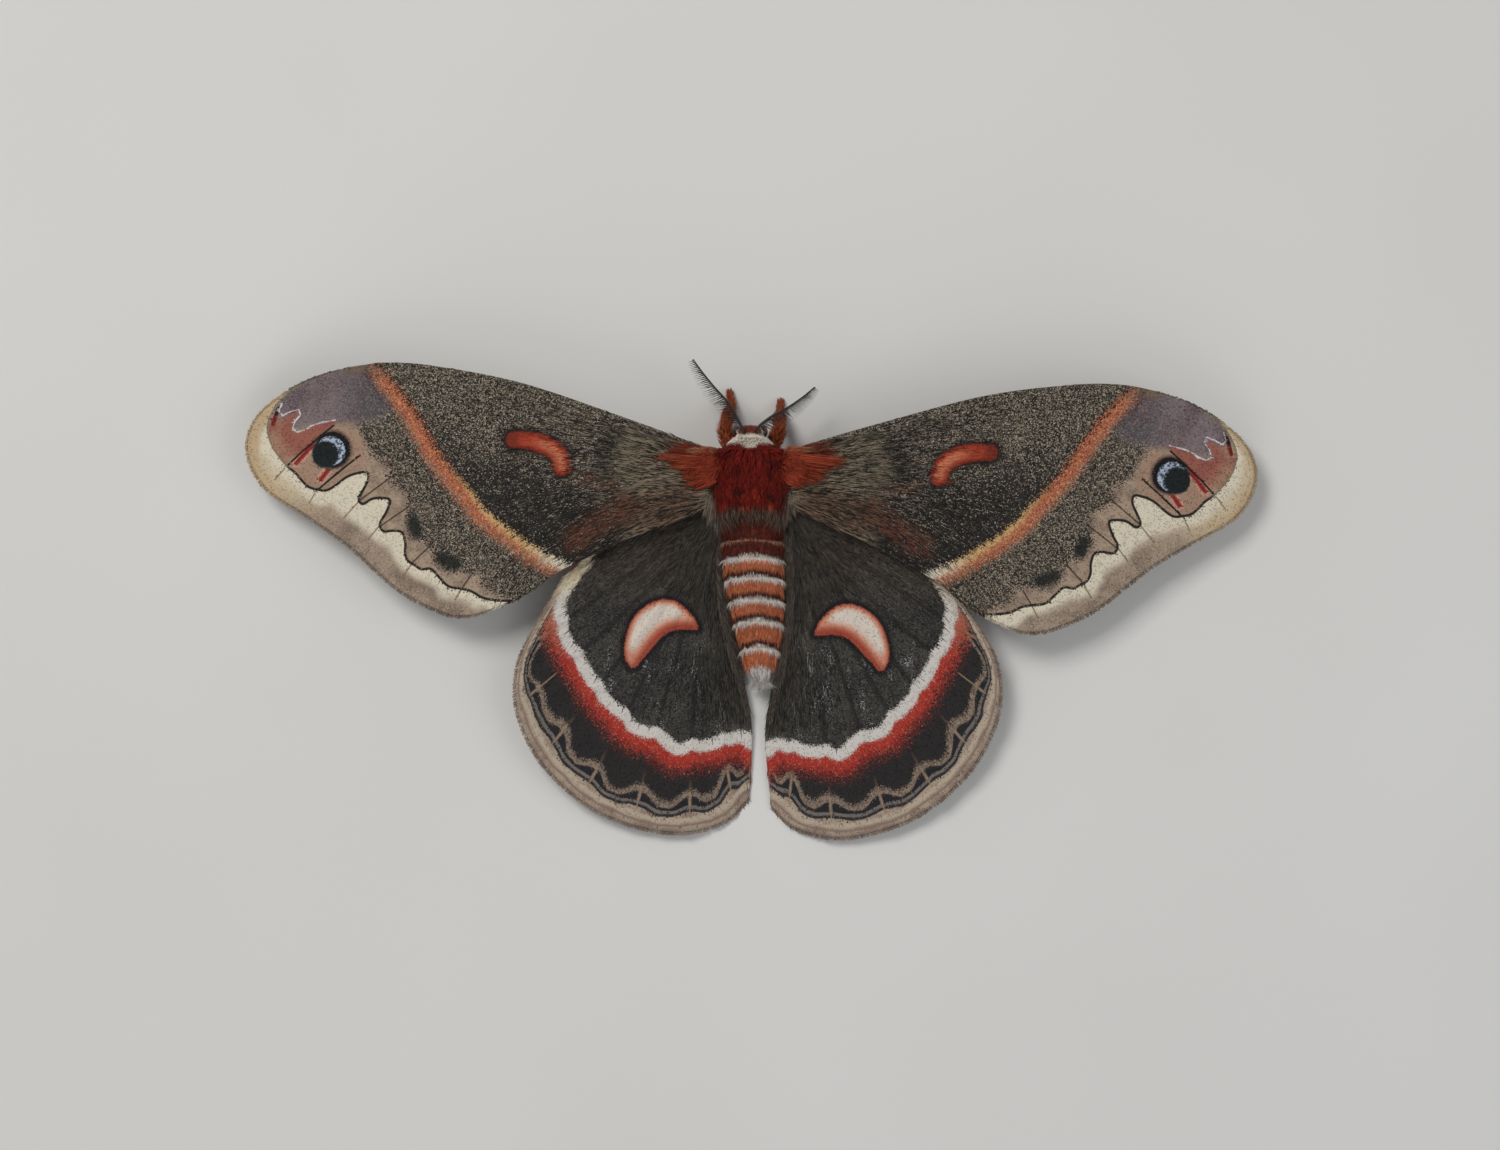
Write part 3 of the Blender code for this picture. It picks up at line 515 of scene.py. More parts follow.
GLOW, GLOW_RADIUS = (60.8, 19.8), 2.12
EYE_RIM, EYE_RIM_RADIUS = (60.5, 20.0), 2.6
EYE_VEIN = ((60.5, 23.5), (67.2, 17.5))
VEIN_INK = (
    ((60.5, 23.5), (65.0, 19.6)), ((65.0, 19.6), (67.5, 17.1)),
    ((56.5, 19.3), (60.5, 16.0)), ((60.5, 16.0), (62.7, 14.0)),
)
FINE_INK = (
    ((67.5, 17.1), (68.9, 15.4)), ((62.7, 14.1), (63.7, 12.2)), ((56.5, 12.7), (51.9, 16.3)),
    ((53.1, 9.3), (49.1, 12.2)), ((48.3, 4.2), (45.9, 6.6)), ((41.1, 0.6), (39.8, 2.6)),
    ((56.5, 12.6), (58.6, 10.2)), ((53.4, 9.2), (54.9, 7.3)), ((48.5, 3.9), (49.8, 1.9)),
    ((41.1, 0.6), (42.0, -1.0)),
)
RED_STREAKS = (
    ((61.2, 22.2), (62.3, 21.5)), ((62.3, 21.5), (64.0, 20.0)), ((64.0, 20.0), (65.8, 17.9)),
    ((59.6, 18.4), (61.0, 17.1)), ((61.0, 17.1), (62.1, 15.7)),
)
FIELD_SPOTS = (((48.4, 9.9), (47.9, 8.6)), ((44.2, 4.9), (42.2, 4.2)))

# %% Lines on the hindwing
WHITE_BAND = (
    (22.6, 8.4), (24.7, 5.2), (26.5, 2.8), (27.8, 0.5), (28.3, -1.5), (27.9, -4.4), (26.9, -6.8),
    (24.9, -10.1), (23.7, -12.1), (22.2, -14.3), (20.1, -16.4), (18.0, -18.7), (15.9, -19.5), (14.1, -20.2),
    (11.9, -22.0), (9.6, -21.7), (6.8, -21.4), (4.0, -20.7), (2.4, -20.4), (0.9, -21.9),
)
CRESCENT = (
    (18.4, -10.0), (19.1, -8.7), (19.2, -7.1), (18.8, -5.0), (17.9, -2.9), (16.2, -1.2), (13.9, -0.2),
    (11.8, -0.4), (10.1, -1.6), (8.9, -3.1), (8.4, -4.6), (9.6, -4.7), (11.1, -4.6), (12.8, -5.0),
    (14.2, -6.1), (15.5, -7.6), (16.8, -9.0), (17.6, -10.0), (18.4, -10.0),
)
CRESCENT_INNER = ((17.3, -10.1), (15.5, -7.6), (14.2, -6.1), (12.8, -5.0), (11.1, -4.6), (8.6, -4.8))
CRESCENT_ENDS = ((18.3, -9.4), (9.2, -4.2))


def inside(points, outline):
    """Which points lie inside a closed outline."""
    found = np.zeros(len(points), bool)
    for (x1, y1), (x2, y2) in zip(outline, outline[1:]):
        crossed = (y1 > points[:, 1]) != (y2 > points[:, 1])
        with np.errstate(divide="ignore", invalid="ignore"):
            x_there = x1 + (points[:, 1] - y1) * (x2 - x1) / (y2 - y1)
        found ^= crossed & (points[:, 0] < x_there)
    return found


# %% Marks as distances
def marks_of(pair, flat):
    """What the painter reads on a wing, for points of (out, ahead)."""
    costa, outer, inner, _, _ = WINGS[pair]
    marks = {"edge": np.abs(line_field(flat, outer)[0]), "costa": np.abs(line_field(flat, costa)[0])}
    marks["inner"] = np.abs(line_field(flat, inner)[0])
    if pair == "fore":
        marks["band"], marks["band_way"] = line_field(flat, BAND)
        marks["wave"] = line_field(flat, WAVE, 260)[0]
        marks["field"] = line_field(flat, FIELD)[0]
        marks["zigzag"] = line_field(flat, ZIGZAG)[0]
        gap, marks["spot_way"] = line_field(flat, DISCAL_SPOT)
        marks["spot"] = np.abs(gap)
        marks["antemedial"] = line_field(flat, ANTEMEDIAL)[0]
    else:
        marks["white"], marks["white_way"] = line_field(flat, WHITE_BAND)
        outline = through(CRESCENT, np.linspace(0.0, 1.0, 120))
        gap = np.abs(line_field(flat, outline, 0)[0])
        marks["crescent"] = np.where(inside(flat, outline), -gap, gap)
        marks["crescent_inner"] = np.abs(line_field(flat, CRESCENT_INNER)[0])
    return marks


for pair, grid in grids.items():
    shape = grid["flat"].shape[:2]
    found = marks_of(pair, grid["flat"].reshape(-1, 2))
    grid.update({name: values.reshape(shape) for name, values in found.items()})
    print(pair, "marks:", sorted(found))

# %% [markdown]
# ## The forewing's colours
# From the body out: brown with tan and black scales, a boomerang spot, a dark field, the orange band
# with a tan inner rim, a speckled field, a mauve tip with a white zigzag over salmon pink, an eyespot,
# and the pale margin outside the black wavy line. Each is one layer, in the order that the scales hide
# one another. The numbers in a mask are distances in millimetres from one of the lines above, shares
# from 0 to 1 along it, or random values from 0 to 1.

# %% Ground and base of the forewing
SOOT = shade(24, 22, 20)
CHARCOAL = shade(45, 41, 37)
UMBER = shade(64, 57, 50)
DEEP_GROUND = shade(38, 35, 32)
TAN_SCALE = shade(152, 137, 116)
PALE_SCALE = shade(200, 191, 172)
CREAM = shade(220, 210, 188)
BUFF = shade(202, 164, 112)
TAUPE = shade(158, 138, 120)


def speckled(f, grain, second, darkness):
    """Brown ground with tan, white and black scales, fewer pale ones where it is dark."""
    colour = f.mix(UMBER, CHARCOAL, f.step(f.noise(160.0, 3.0), 0.35, 0.65))
    colour = f.mix(colour, DEEP_GROUND, f.times(darkness, 0.9))
    lit = f.step(f.less(grain, f.times(darkness, 0.27)), 0.58, 0.72)
    pale = f.mix(TAN_SCALE, PALE_SCALE, f.step(second, 0.6, 0.95))
    colour = f.mix(colour, pale, f.times(lit, 0.72))
    return f.mix(colour, SOOT, f.step(grain, 0.27, 0.15))


def forewing_base(f, flat, colour, second, streak):
    """Streaks of hair near the body: green-black and beige, then red-brown behind the spot."""
    out = f.part(flat, 0)
    before, costa = f.attribute("antemedial"), f.attribute("costa")
    near = f.both(f.step(out, 19.5, 14.0), f.step(costa, 0.5, 2.0))
    strands = f.mix(shade(44, 42, 35), shade(160, 143, 120), f.step(streak, 0.44, 0.62))
    colour = f.mix(colour, strands, near)
    behind = f.step(f.capsule(flat, (8.0, 14.0), (15.0, 12.5)), 4.2, 1.0)
    rusty = f.mix(shade(60, 50, 40), shade(128, 70, 46), f.step(second, 0.3, 0.8))
    colour = f.mix(colour, rusty, f.both(f.times(behind, 0.55), f.step(streak, 0.42, 0.6)))
    small = f.plus(f.capsule(flat, (19.5, 16.2), (23.6, 17.3)), 1.3)
    warm = f.least([f.capsule(flat, (17.0, 13.6), (24.5, 8.6)), small])
    warm = f.step(f.frayed(warm, f.noise(150.0), 1.6), 3.8, 1.2)
    reddish = f.mix(shade(84, 58, 46), shade(138, 78, 54), second)
    colour = f.mix(colour, reddish, f.both(f.times(warm, 0.85), f.step(streak, 0.4, 0.62)))
    patch = f.both(f.between(before, 0.3, 3.2, 0.9), f.step(streak, 0.3, 0.6))
    patch = f.both(patch, f.between(costa, 2.5, 8.5, 1.5))
    colour = f.mix(colour, shade(31, 31, 27), f.times(patch, 0.9))
    broken = f.step(f.noise(110.0, 2.0), 0.4, 0.58)
    pale_hair = f.both(f.between(before, -1.6, 0.3, 0.8), f.step(costa, 0.8, 2.5), broken)
    colour = f.mix(colour, shade(150, 136, 112), f.both(pale_hair, f.step(streak, 0.36, 0.58)))
    root_red = f.step(f.capsule(flat, (4.0, 20.6), (9.0, 20.6)), 2.6, 1.0)
    return f.mix(colour, shade(150, 56, 32), f.both(root_red, f.step(streak, 0.3, 0.5)))


# %% Spot and band of the forewing
def discal_spot(f, colour, dither):
    """An orange-red boomerang with a paler core, shaded with black on its outer side."""
    spot, way = f.attribute("spot"), f.attribute("spot_way")
    swell = f.times(f.step(way, 0.0, 0.55), 0.16)
    gap = f.less(spot, swell)
    gap = f.frayed(gap, dither, 0.12)
    colour = f.mix(colour, SOOT, f.both(f.step(gap, 2.5, 1.0), f.step(way, 0.7, 0.0)))
    colour = f.mix(colour, SOOT, f.step(gap, 1.9, 1.2))
    body = f.mix(shade(166, 64, 40), shade(126, 40, 24), f.step(gap, 0.4, 1.2))
    body = f.mix(body, shade(120, 42, 26), f.step(way, 0.16, 0.0))
    core = f.both(f.step(gap, 0.75, 0.05), f.step(way, 0.25, 0.6))
    body = f.mix(body, shade(206, 126, 90), f.times(core, 0.8))
    return f.mix(colour, body, f.step(gap, 1.32, 1.02))


def orange_band(f, colour, second, dither):
    """The band of orange scales, tan along its inner side and redder along its outer side."""
    band, way, costa = f.attribute("band"), f.attribute("band_way"), f.attribute("costa")
    rough = f.frayed(band, dither, 1.5)
    orange = f.mix(shade(182, 102, 70), shade(146, 72, 50), f.step(f.plus(dither, band), -0.2, 1.2))
    orange = f.mix(orange, shade(212, 146, 104), f.step(second, 0.72, 0.9))
    orange = f.mix(orange, shade(112, 70, 52), f.step(second, 0.2, 0.08))
    in_band = f.both(f.step(rough, -1.3, -0.8), f.step(rough, 1.3, 0.6))
    fading = f.plus(f.times(f.step(costa, 0.6, 3.2), 0.55), 0.4)
    colour = f.mix(colour, orange, f.times(in_band, fading))
    rim_end = f.plus(f.times(f.step(way, 0.4, 1.0), 0.9), -1.0)
    rim_place = f.frayed(band, dither, 0.9)
    rim = f.both(f.step(rim_place, -1.55, -1.2), f.step(f.less(rim_place, rim_end), 0.25, -0.2))
    rim = f.both(rim, f.step(way, 0.38, 0.6))
    return f.mix(colour, f.mix(BUFF, CREAM, f.step(way, 0.8, 1.0)), rim)


# %% Tip of the forewing
MAUVE_REACH = ((55.8, 28.9), (65.5, 27.6))


def wing_tip(f, flat, colour, second, dither):
    """Mauve above the white zigzag, salmon pink below it, sand round the eyespot."""
    rough = f.frayed(f.attribute("band"), dither, 1.6)
    reach = f.frayed(f.capsule(flat, *MAUVE_REACH), dither, 0.8)
    tip = f.both(f.step(reach, 5.6, 3.6), f.step(rough, 0.9, 1.9))
    mauve = f.mix(shade(122, 108, 109), shade(84, 78, 79), f.step(f.part(flat, 0), 62.0, 55.5))
    mauve = f.mix(mauve, shade(98, 82, 84), f.step(f.noise(230.0, 3.0), 0.45, 0.7))
    mauve = f.mix(mauve, shade(148, 132, 136), f.times(f.step(second, 0.7, 0.95), 0.6))
    mauve = f.mix(mauve, shade(118, 100, 84), f.step(f.attribute("costa"), 1.8, 0.3))
    colour = f.mix(colour, mauve, tip)
    below = f.step(f.frayed(f.attribute("zigzag"), dither, 0.2), -0.1, 0.25)
    above_vein = f.step(f.side_of(flat, *EYE_VEIN), -0.1, 0.2)
    pink_reach = f.step(f.capsule(flat, (62.8, 23.0), (68.4, 21.0)), 4.0, 2.2)
    pink = f.mix(shade(152, 92, 78), shade(164, 126, 104), f.step(f.attribute("wave"), -3.0, -0.3))
    pink = f.mix(pink, shade(142, 84, 74), f.step(f.noise(420.0, 2.0), 0.5, 0.75))
    return f.mix(colour, pink, f.both(below, above_vein, pink_reach))


def eyespot(f, flat, colour, dither):
    """A black pupil in a blue-white crescent in a black one, between two red streaks."""
    near = f.step(f.capsule(flat, (63.4, 18.0), (59.5, 19.6)), 4.6, 3.2)
    field = f.both(near, f.step(f.side_of(flat, *EYE_VEIN), 0.2, -0.1))
    colour = f.mix(colour, f.mix(shade(160, 138, 116), shade(166, 128, 108), f.noise(300.0)), field)
    red = f.nearest(flat, RED_STREAKS)
    colour = f.mix(colour, shade(196, 150, 130), f.both(field, f.step(red, 0.85, 0.45)))
    red = f.frayed(red, dither, 0.15)
    colour = f.mix(colour, shade(138, 36, 32), f.step(red, 0.46, 0.2))

    def disc(centre, radius, soft=0.08):
        return f.step(f.frayed(f.away(flat, centre), dither, 0.16), radius + soft, radius - soft)

    colour = f.mix(colour, shade(96, 74, 64), disc(EYE_RIM, EYE_RIM_RADIUS + 0.3, 0.3))
    colour = f.mix(colour, shade(17, 15, 17), disc(EYE_RIM, EYE_RIM_RADIUS))
    glow = f.mix(shade(178, 188, 204), shade(70, 82, 100), f.step(f.noise(2600.0), 0.46, 0.6))
    colour = f.mix(colour, glow, disc(GLOW, GLOW_RADIUS))
    colour = f.mix(colour, shade(34, 42, 52), disc(PUPIL, PUPIL_RADIUS + 0.15, 0.15))
    return f.mix(colour, shade(22, 29, 29), disc(PUPIL, PUPIL_RADIUS))


# %% Margin of the forewing
def fine_lines(f, flat, colour, dither):
    """The white zigzag, the dark dash at the tip, the dark spots and the veins drawn in black."""
    dash = f.capsule(flat, (68.7, 25.6), (69.4, 23.4))
    colour = f.mix(colour, shade(112, 26, 24), f.step(dash, 0.4, 0.2))
    colour = f.mix(colour, SOOT, f.step(f.capsule(flat, (68.6, 25.8), (69.0, 24.9)), 0.32, 0.16))
    zig = f.nearest(flat, zip(ZIGZAG, ZIGZAG[1:]))
    zig = f.frayed(zig, f.noise(700.0, 3.0), 0.36)
    colour = f.mix(colour, shade(214, 208, 210), f.step(zig, 0.33, 0.2))
    spots = f.nearest(flat, FIELD_SPOTS)
    spots = f.frayed(spots, dither, 0.8)
    colour = f.mix(colour, shade(27, 31, 28), f.times(f.step(spots, 1.6, 0.7), 0.92))
    ink = f.nearest(flat, VEIN_INK)
    return f.mix(colour, shade(24, 19, 16), f.step(ink, 0.2, 0.09))


def forewing_margin(f, flat, colour, second):
    """The pale margin outside the black wavy line, cream inside and taupe outside."""
    wave, edge = f.attribute("wave"), f.attribute("edge")
    blotch = f.times(f.less(f.noise(190.0, 2.0), 0.5), 3.4)
    outer_edge = f.plus(edge, blotch)
    tipward = f.step(f.part(flat, 1), 9.0, 15.0)
    taupe = f.mix(TAUPE, shade(134, 115, 101), f.step(f.noise(330.0, 3.0), 0.4, 0.66))
    far = f.mix(taupe, shade(204, 186, 156), tipward)
    away = f.step(f.plus(wave, blotch), 0.9, 2.4)
    pale = f.mix(CREAM, far, f.times(away, f.step(outer_edge, 4.4, 2.4)))
    pale = f.mix(pale, shade(194, 168, 132), f.both(tipward, f.step(outer_edge, 1.8, 0.5)))
    pale = f.mix(pale, shade(196, 182, 156), f.times(f.step(second, 0.8, 0.95), 0.5))
    colour = f.mix(colour, pale, f.step(wave, -0.05, 0.1))
    tipward_line = f.step(f.side_of(flat, *EYE_VEIN), -1.0, 0.5)
    line_colour = f.mix(shade(34, 28, 24), shade(132, 122, 98), tipward_line)
    line = f.math("ABSOLUTE", wave)
    line = f.step(f.plus(line, f.times(tipward_line, 0.06)), 0.27, 0.12)
    colour = f.mix(colour, line_colour, line)
    fine = f.nearest(flat, FINE_INK)
    fine_colour = f.mix(shade(44, 34, 28), shade(132, 106, 84), f.step(wave, 0.1, 0.5))
    return f.mix(colour, fine_colour, f.times(f.step(fine, 0.17, 0.06), 0.85))


# %% Forewing colours
def forewing_colour(f, grain, second, streak):
    """The forewing's upper colours, from values that are random from scale to scale."""
    flat = f.attribute("flat", "Vector")
    band, way = f.attribute("band"), f.attribute("band_way")
    dither = f.less(grain, 0.5)
    reach = f.plus(f.attribute("costa"), f.times(f.less(f.noise(120.0), 0.5), 6.0))
    inland = f.both(f.step(band, -0.4, -1.4), f.step(reach, 6.5, 16.0), f.step(band, -26.0, -17.0))
    beside = f.both(f.step(band, -3.4, -0.9), f.step(band, -0.2, -0.6), f.step(way, 0.2, 0.5))
    colour = speckled(f, grain, second, f.math("MAXIMUM", inland, beside))
    colour = forewing_base(f, flat, colour, second, streak)
    colour = discal_spot(f, colour, dither)
    colour = orange_band(f, colour, second, dither)

    rough_field = f.frayed(f.attribute("field"), dither, 1.6)
    sand = f.mix(shade(170, 148, 126), shade(146, 126, 108), f.step(f.noise(420.0, 2.0), 0.4, 0.65))
    sand = f.mix(sand, shade(112, 102, 96), f.both(f.step(second, 0.6, 0.85), f.step(rough_field, 2.5, 0.0)))
    colour = f.mix(colour, sand, f.step(rough_field, -0.2, 0.3))
    colour = wing_tip(f, flat, colour, second, dither)
    colour = eyespot(f, flat, colour, dither)
    colour = fine_lines(f, flat, colour, dither)
    return forewing_margin(f, flat, colour, second)


# %% [markdown]
# ## The hindwing's colours
# The hindwing has a charcoal field with a pale crescent, then a white band and a red band that breaks
# up into black. Outside them lie black bays with tan rims, black lenses, a grey stripe, a black line
# and a beige margin.

# %% Field of the hindwing
def hindwing_field(f, flat, grain, second, streak):
    """Charcoal with painted glints of light to the rear, and brown hair beside the body and in front."""
    ahead = f.part(flat, 1)
    colour = f.mix(shade(45, 44, 41), shade(63, 61, 56), f.step(f.noise(200.0, 3.0), 0.35, 0.65))
    colour = f.mix(colour, shade(92, 87, 82), f.times(f.step(grain, 0.66, 0.8), 0.6))
    # Painted highlight: pale flecks in streaks on the rear half stand in for glints of light on the scales.
    painted_glint_streaks = f.step(f.noise(260.0, 2.0, stretch=(2.2, 0.7, 1.0)), 0.52, 0.66)
    painted_glint = f.both(f.step(grain, 0.76, 0.9), f.step(ahead, 2.0, -8.0), painted_glint_streaks)
    colour = f.mix(colour, shade(158, 156, 158), painted_glint)
    colour = f.mix(colour, SOOT, f.step(grain, 0.26, 0.15))
    veins = f.both(f.step(f.attribute("vein"), 0.5, 0.1), f.step(f.attribute("inner"), 4.0, 8.0))
    colour = f.mix(colour, shade(30, 27, 26), f.times(veins, 0.7))
    upper = f.both(f.step(ahead, -3.0, 8.0), f.step(streak, 0.4, 0.62))
    colour = f.mix(colour, f.mix(shade(98, 92, 80), shade(92, 74, 58), second), f.times(upper, 0.75))
    hairy = f.both(f.step(f.attribute("inner"), 7.0, 1.5), f.step(streak, 0.38, 0.62))
    return f.mix(colour, shade(82, 75, 66), f.times(hairy, 0.8))


def crescent_spot(f, flat, colour, dither):
    """A cream crescent with an orange-red rim, broad on its hollow side, shaded with black."""
    crescent, hollow = f.attribute("crescent"), f.attribute("crescent_inner")
    colour = f.mix(colour, shade(20, 18, 18), f.step(crescent, 1.1, 0.2))
    rim = f.mix(shade(158, 66, 46), shade(208, 140, 112), f.step(hollow, 0.4, 1.8))
    rim = f.mix(rim, shade(156, 72, 54), f.step(crescent, -0.6, 0.05))
    from_ends = f.least([f.away(flat, end) for end in CRESCENT_ENDS])
    core = f.both(f.step(crescent, -0.35, -1.15), f.step(hollow, 1.0, 2.5), f.step(from_ends, 0.9, 2.8))
    rim = f.mix(rim, shade(220, 208, 194), core)
    return f.mix(colour, rim, f.step(f.frayed(crescent, dither, 0.16), 0.1, -0.12))


# %% Margin of the hindwing
def hindwing_margin(f, colour, second, dither, rough):
    """Black bays with tan rims between the veins, black lenses, a grey stripe, a black line, beige."""
    edge, cell, way = f.attribute("edge"), f.attribute("cell"), f.attribute("white_way")
    middle = f.step(cell, 0.1, 0.85)
    depth = f.times(edge, f.plus(f.times(f.step(way, 0.46, 0.22), 2.4), 1.0))
    depth = f.plus(depth, f.times(f.less(f.noise(260.0, 3.0), 0.5), 0.9))
    bowed = f.plus(depth, f.less(f.times(middle, 0.5), 0.25))
    scattered = f.frayed(bowed, dither, 0.8)
    scattered = f.plus(scattered, f.times(f.less(f.noise(120.0), 0.5), 1.4))

    bay = f.less(5.7, f.times(middle, 1.05))
    tan = f.mix(shade(148, 126, 106), shade(98, 90, 84), f.step(second, 0.4, 0.7))
    parted = f.both(f.step(f.attribute("vein"), 0.3, 0.06), f.step(depth, 8.5, 6.0))
    zone = f.mix(shade(39, 36, 35), shade(96, 76, 62), f.times(parted, 0.6))
    zone = f.mix(zone, tan, f.step(f.less(scattered, bay), 0.2, -0.25))
    lens = f.less(4.6, f.times(middle, 0.9))
    in_lens = f.both(f.step(f.less(bowed, lens), 0.12, -0.12), f.step(f.attribute("vein"), 0.12, 0.3))
    zone = f.mix(zone, shade(34, 32, 35), in_lens)
    grey = f.mix(shade(98, 94, 92), shade(126, 116, 107), f.noise(260.0))
    zone = f.mix(zone, grey, f.step(bowed, 3.36, 3.2))

    beige = f.mix(shade(168, 150, 132), shade(146, 126, 112), f.step(f.noise(380.0, 3.0), 0.42, 0.62))
    beige = f.mix(beige, shade(182, 166, 146), f.between(depth, 1.25, 1.95, 0.2))
    beige = f.mix(beige, shade(134, 112, 98), f.between(depth, 0.7, 1.0, 0.16))
    zone = f.mix(zone, beige, f.step(bowed, 2.55, 2.4))
    line = f.math("ABSOLUTE", f.less(bowed, 2.62))
    zone = f.mix(zone, shade(44, 41, 41), f.step(line, 0.28, 0.14))
    tick = f.both(f.step(f.attribute("vein"), 0.14, 0.04), f.between(edge, 2.0, 5.6, 0.3))
    zone = f.mix(zone, shade(156, 126, 102), f.times(tick, 0.8))
    zone = f.mix(zone, shade(206, 190, 160), f.step(way, 0.22, 0.12))
    return f.mix(colour, zone, f.step(rough, 0.4, 0.6))


def hindwing_bands(f, colour, second, dither, rough):
    """The red band that breaks up into black, and the white band inside it."""
    white, way = f.attribute("white"), f.attribute("white_way")
    red_mix = f.mix(shade(168, 50, 38), shade(118, 36, 30), f.step(rough, 1.8, 3.6))
    red_mix = f.mix(red_mix, shade(196, 116, 92), f.times(f.step(second, 0.86, 0.96), 0.8))
    red_mix = f.mix(red_mix, shade(172, 104, 78), f.step(way, 0.36, 0.2))
    width = f.plus(f.times(f.step(way, 0.3, 0.65), 0.6), 2.6)
    spread_out = f.times(dither, 1.6)
    outer_side = f.less(f.plus(rough, spread_out), width)
    red = f.both(f.step(outer_side, 0.8, -0.4), f.step(rough, 0.25, 0.6))
    colour = f.mix(colour, red_mix, f.both(red, f.step(f.attribute("edge"), 0.5, 1.3)))
    pale = f.mix(shade(208, 202, 194), shade(214, 200, 170), f.step(way, 0.24, 0.1))
    scallop = f.times(f.step(f.attribute("cell"), 0.5, 0.0), 0.35)
    stripe = f.frayed(f.plus(white, scallop), dither, 0.45)
    return f.mix(colour, pale, f.between(stripe, -0.78, 0.92, 0.22))


# %% Hindwing colours
def hindwing_colour(f, grain, second, streak):
    """The hindwing's upper colours."""
    flat = f.attribute("flat", "Vector")
    dither = f.less(grain, 0.5)
    rough = f.frayed(f.attribute("white"), dither, 1.0)
    colour = hindwing_field(f, flat, grain, second, streak)
    colour = crescent_spot(f, flat, colour, dither)
    colour = hindwing_margin(f, colour, second, dither, rough)
    return hindwing_bands(f, colour, second, dither, rough)


# %% Wing materials
WING_COLOURS = {"fore": forewing_colour, "hind": hindwing_colour}
SCALE_GRAIN = 7200.0


def wing_finish(pair, under=False):
    """The scaled surface of a wing. Its underside has the same marks, washed out."""
    f = Finish(f"{pair}wing_{'under' if under else 'upper'}", Roughness=0.72, Specular_IOR_Level=0.25)
    parts, height = f.grains(SCALE_GRAIN)
    streak = f.noise(1.0, 3.0, f.attribute("flow", "Vector"), (2.6, 0.16, 1.0))
    colour = WING_COLOURS[pair](f, parts.outputs[0], parts.outputs[1], streak)
    if under:
        colour = f.mix(colour, shade(150, 138, 126), f.plus(f.times(parts.outputs[2], 0.3), 0.2))
    f.colour(colour)
    f.bump(height, 0.00006, 0.6)
    return f.material


wing_materials = {pair: (wing_finish(pair), wing_finish(pair, True)) for pair in WINGS}
print("nodes in the forewing's finish:", len(wing_materials["fore"][0].node_tree.nodes))

# %% [markdown]
# ## The wings
# Each wing starts as one grid from the editor's grid operator. We bend it by moving its points: the
# veins stand a little proud, the membrane sinks between them, and the whole follows the solids' curve.
# Solidify gives it the thickness of paper.

# %% Pieces and attributes
def add_piece(name, mesh, slot, *nodes):
    """Add a finished mesh to the moth, in place of the solids named."""
    piece = bpy.data.objects.new(name, mesh)
    bpy.context.scene.collection.objects.link(piece)
    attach(piece, BODY)
    if nodes:
        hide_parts(*nodes)
    return piece


def store(mesh, name, values):
    """Keep a number or a vector for each point of a mesh."""
    values = np.asarray(values, np.float32)
    if values.ndim == 1:
        mesh.attributes.new(name, "FLOAT", "POINT").data.foreach_set("value", values)
    else:
        mesh.attributes.new(name, "FLOAT_VECTOR", "POINT").data.foreach_set("vector", values.ravel())


def on_sheet(flat):
    """Points of (out, ahead) as vectors, for an attribute."""
    return np.column_stack([flat, np.zeros(len(flat))])


# %% Shape of one wing
WING_SHEET = 0.26
VEIN_WIDTH = 0.3
RIPPLE = 0.05
FLOW_SCALE = (70.0, 60.0)


def wing_surface(pair, side):
    """The grid's points in millimetres, in place on one side of the moth."""
    grid = grids[pair]
    height = WINGS[pair][4]
    flat = grid["flat"]
    placed = held(pair, side, flat.reshape(-1, 2)).reshape(flat.shape)
    opened = np.clip(grid["share"] * 3.0, 0.0, 1.0)
    veins = VEIN_RISE[pair] * np.exp(-((grid["vein"] / VEIN_WIDTH) ** 2))
    relief = veins + PLEAT[pair] * grid["cell"] * opened
    ripple = RIPPLE * np.sin(grid["across"] * 90.0 + grid["share"] * 7.0) * opened
    up = height(flat[..., 0], flat[..., 1]) + relief + ripple
    return np.stack([SIDES[side] * placed[..., 0], placed[..., 1], up], axis=2)


def make_wing(pair, side):
    """A wing's sheet, in place of its solid."""
    grid = grids[pair]
    points = wing_surface(pair, side)
    rows, columns = points.shape[:2]
    bm = bmesh.new()
    bmesh.ops.create_grid(bm, x_segments=columns - 1, y_segments=rows - 1, size=1.0)
    for vert, place in zip(bm.verts, points.reshape(-1, 3) * MM):
        vert.co = place
    bm.normal_update()
    if sum(face.normal.z for face in bm.faces) < 0.0:
        bmesh.ops.reverse_faces(bm, faces=bm.faces)
    name = f"{pair}wing_{side}"
    mesh = mesh_of(bm, f"{name}_scaled", *wing_materials[pair])
    store(mesh, "flat", on_sheet(grid["flat"].reshape(-1, 2)))
    flow = np.column_stack([grid["across"].ravel(), grid["share"].ravel()])
    store(mesh, "flow", on_sheet(flow * FLOW_SCALE))
    for mark, values in grid.items():
        if mark not in ("flat", "share", "across"):
            store(mesh, mark, values.ravel())
    piece = add_piece(f"{name}_scaled", mesh, f"{pair}wing", name)
    sheet = piece.modifiers.new("sheet", "SOLIDIFY")
    sheet.thickness = WING_SHEET * MM
    sheet.offset = 0.0
    sheet.material_offset = 1
    return piece


for pair in WINGS:
    for side in SIDES:
        wing = make_wing(pair, side)
        print(wing.name, "faces:", len(wing.data.polygons))

# %% [markdown]
# ## One tuft, many tufts
# Fur and scales are real mesh here, so that they cast shadows and break the outline. One tuft is a thin
# cone from the editor's cone operator, cut across so that it can bend. Arrays then copy it to every
# root, where it takes its own length, bend and tint. A second map, OFBake, gives each tuft a small patch
# at its root's place on the unwrapped skin, so that its colour can be baked.

# %% The tuft
BAKE_PATCH = 0.003


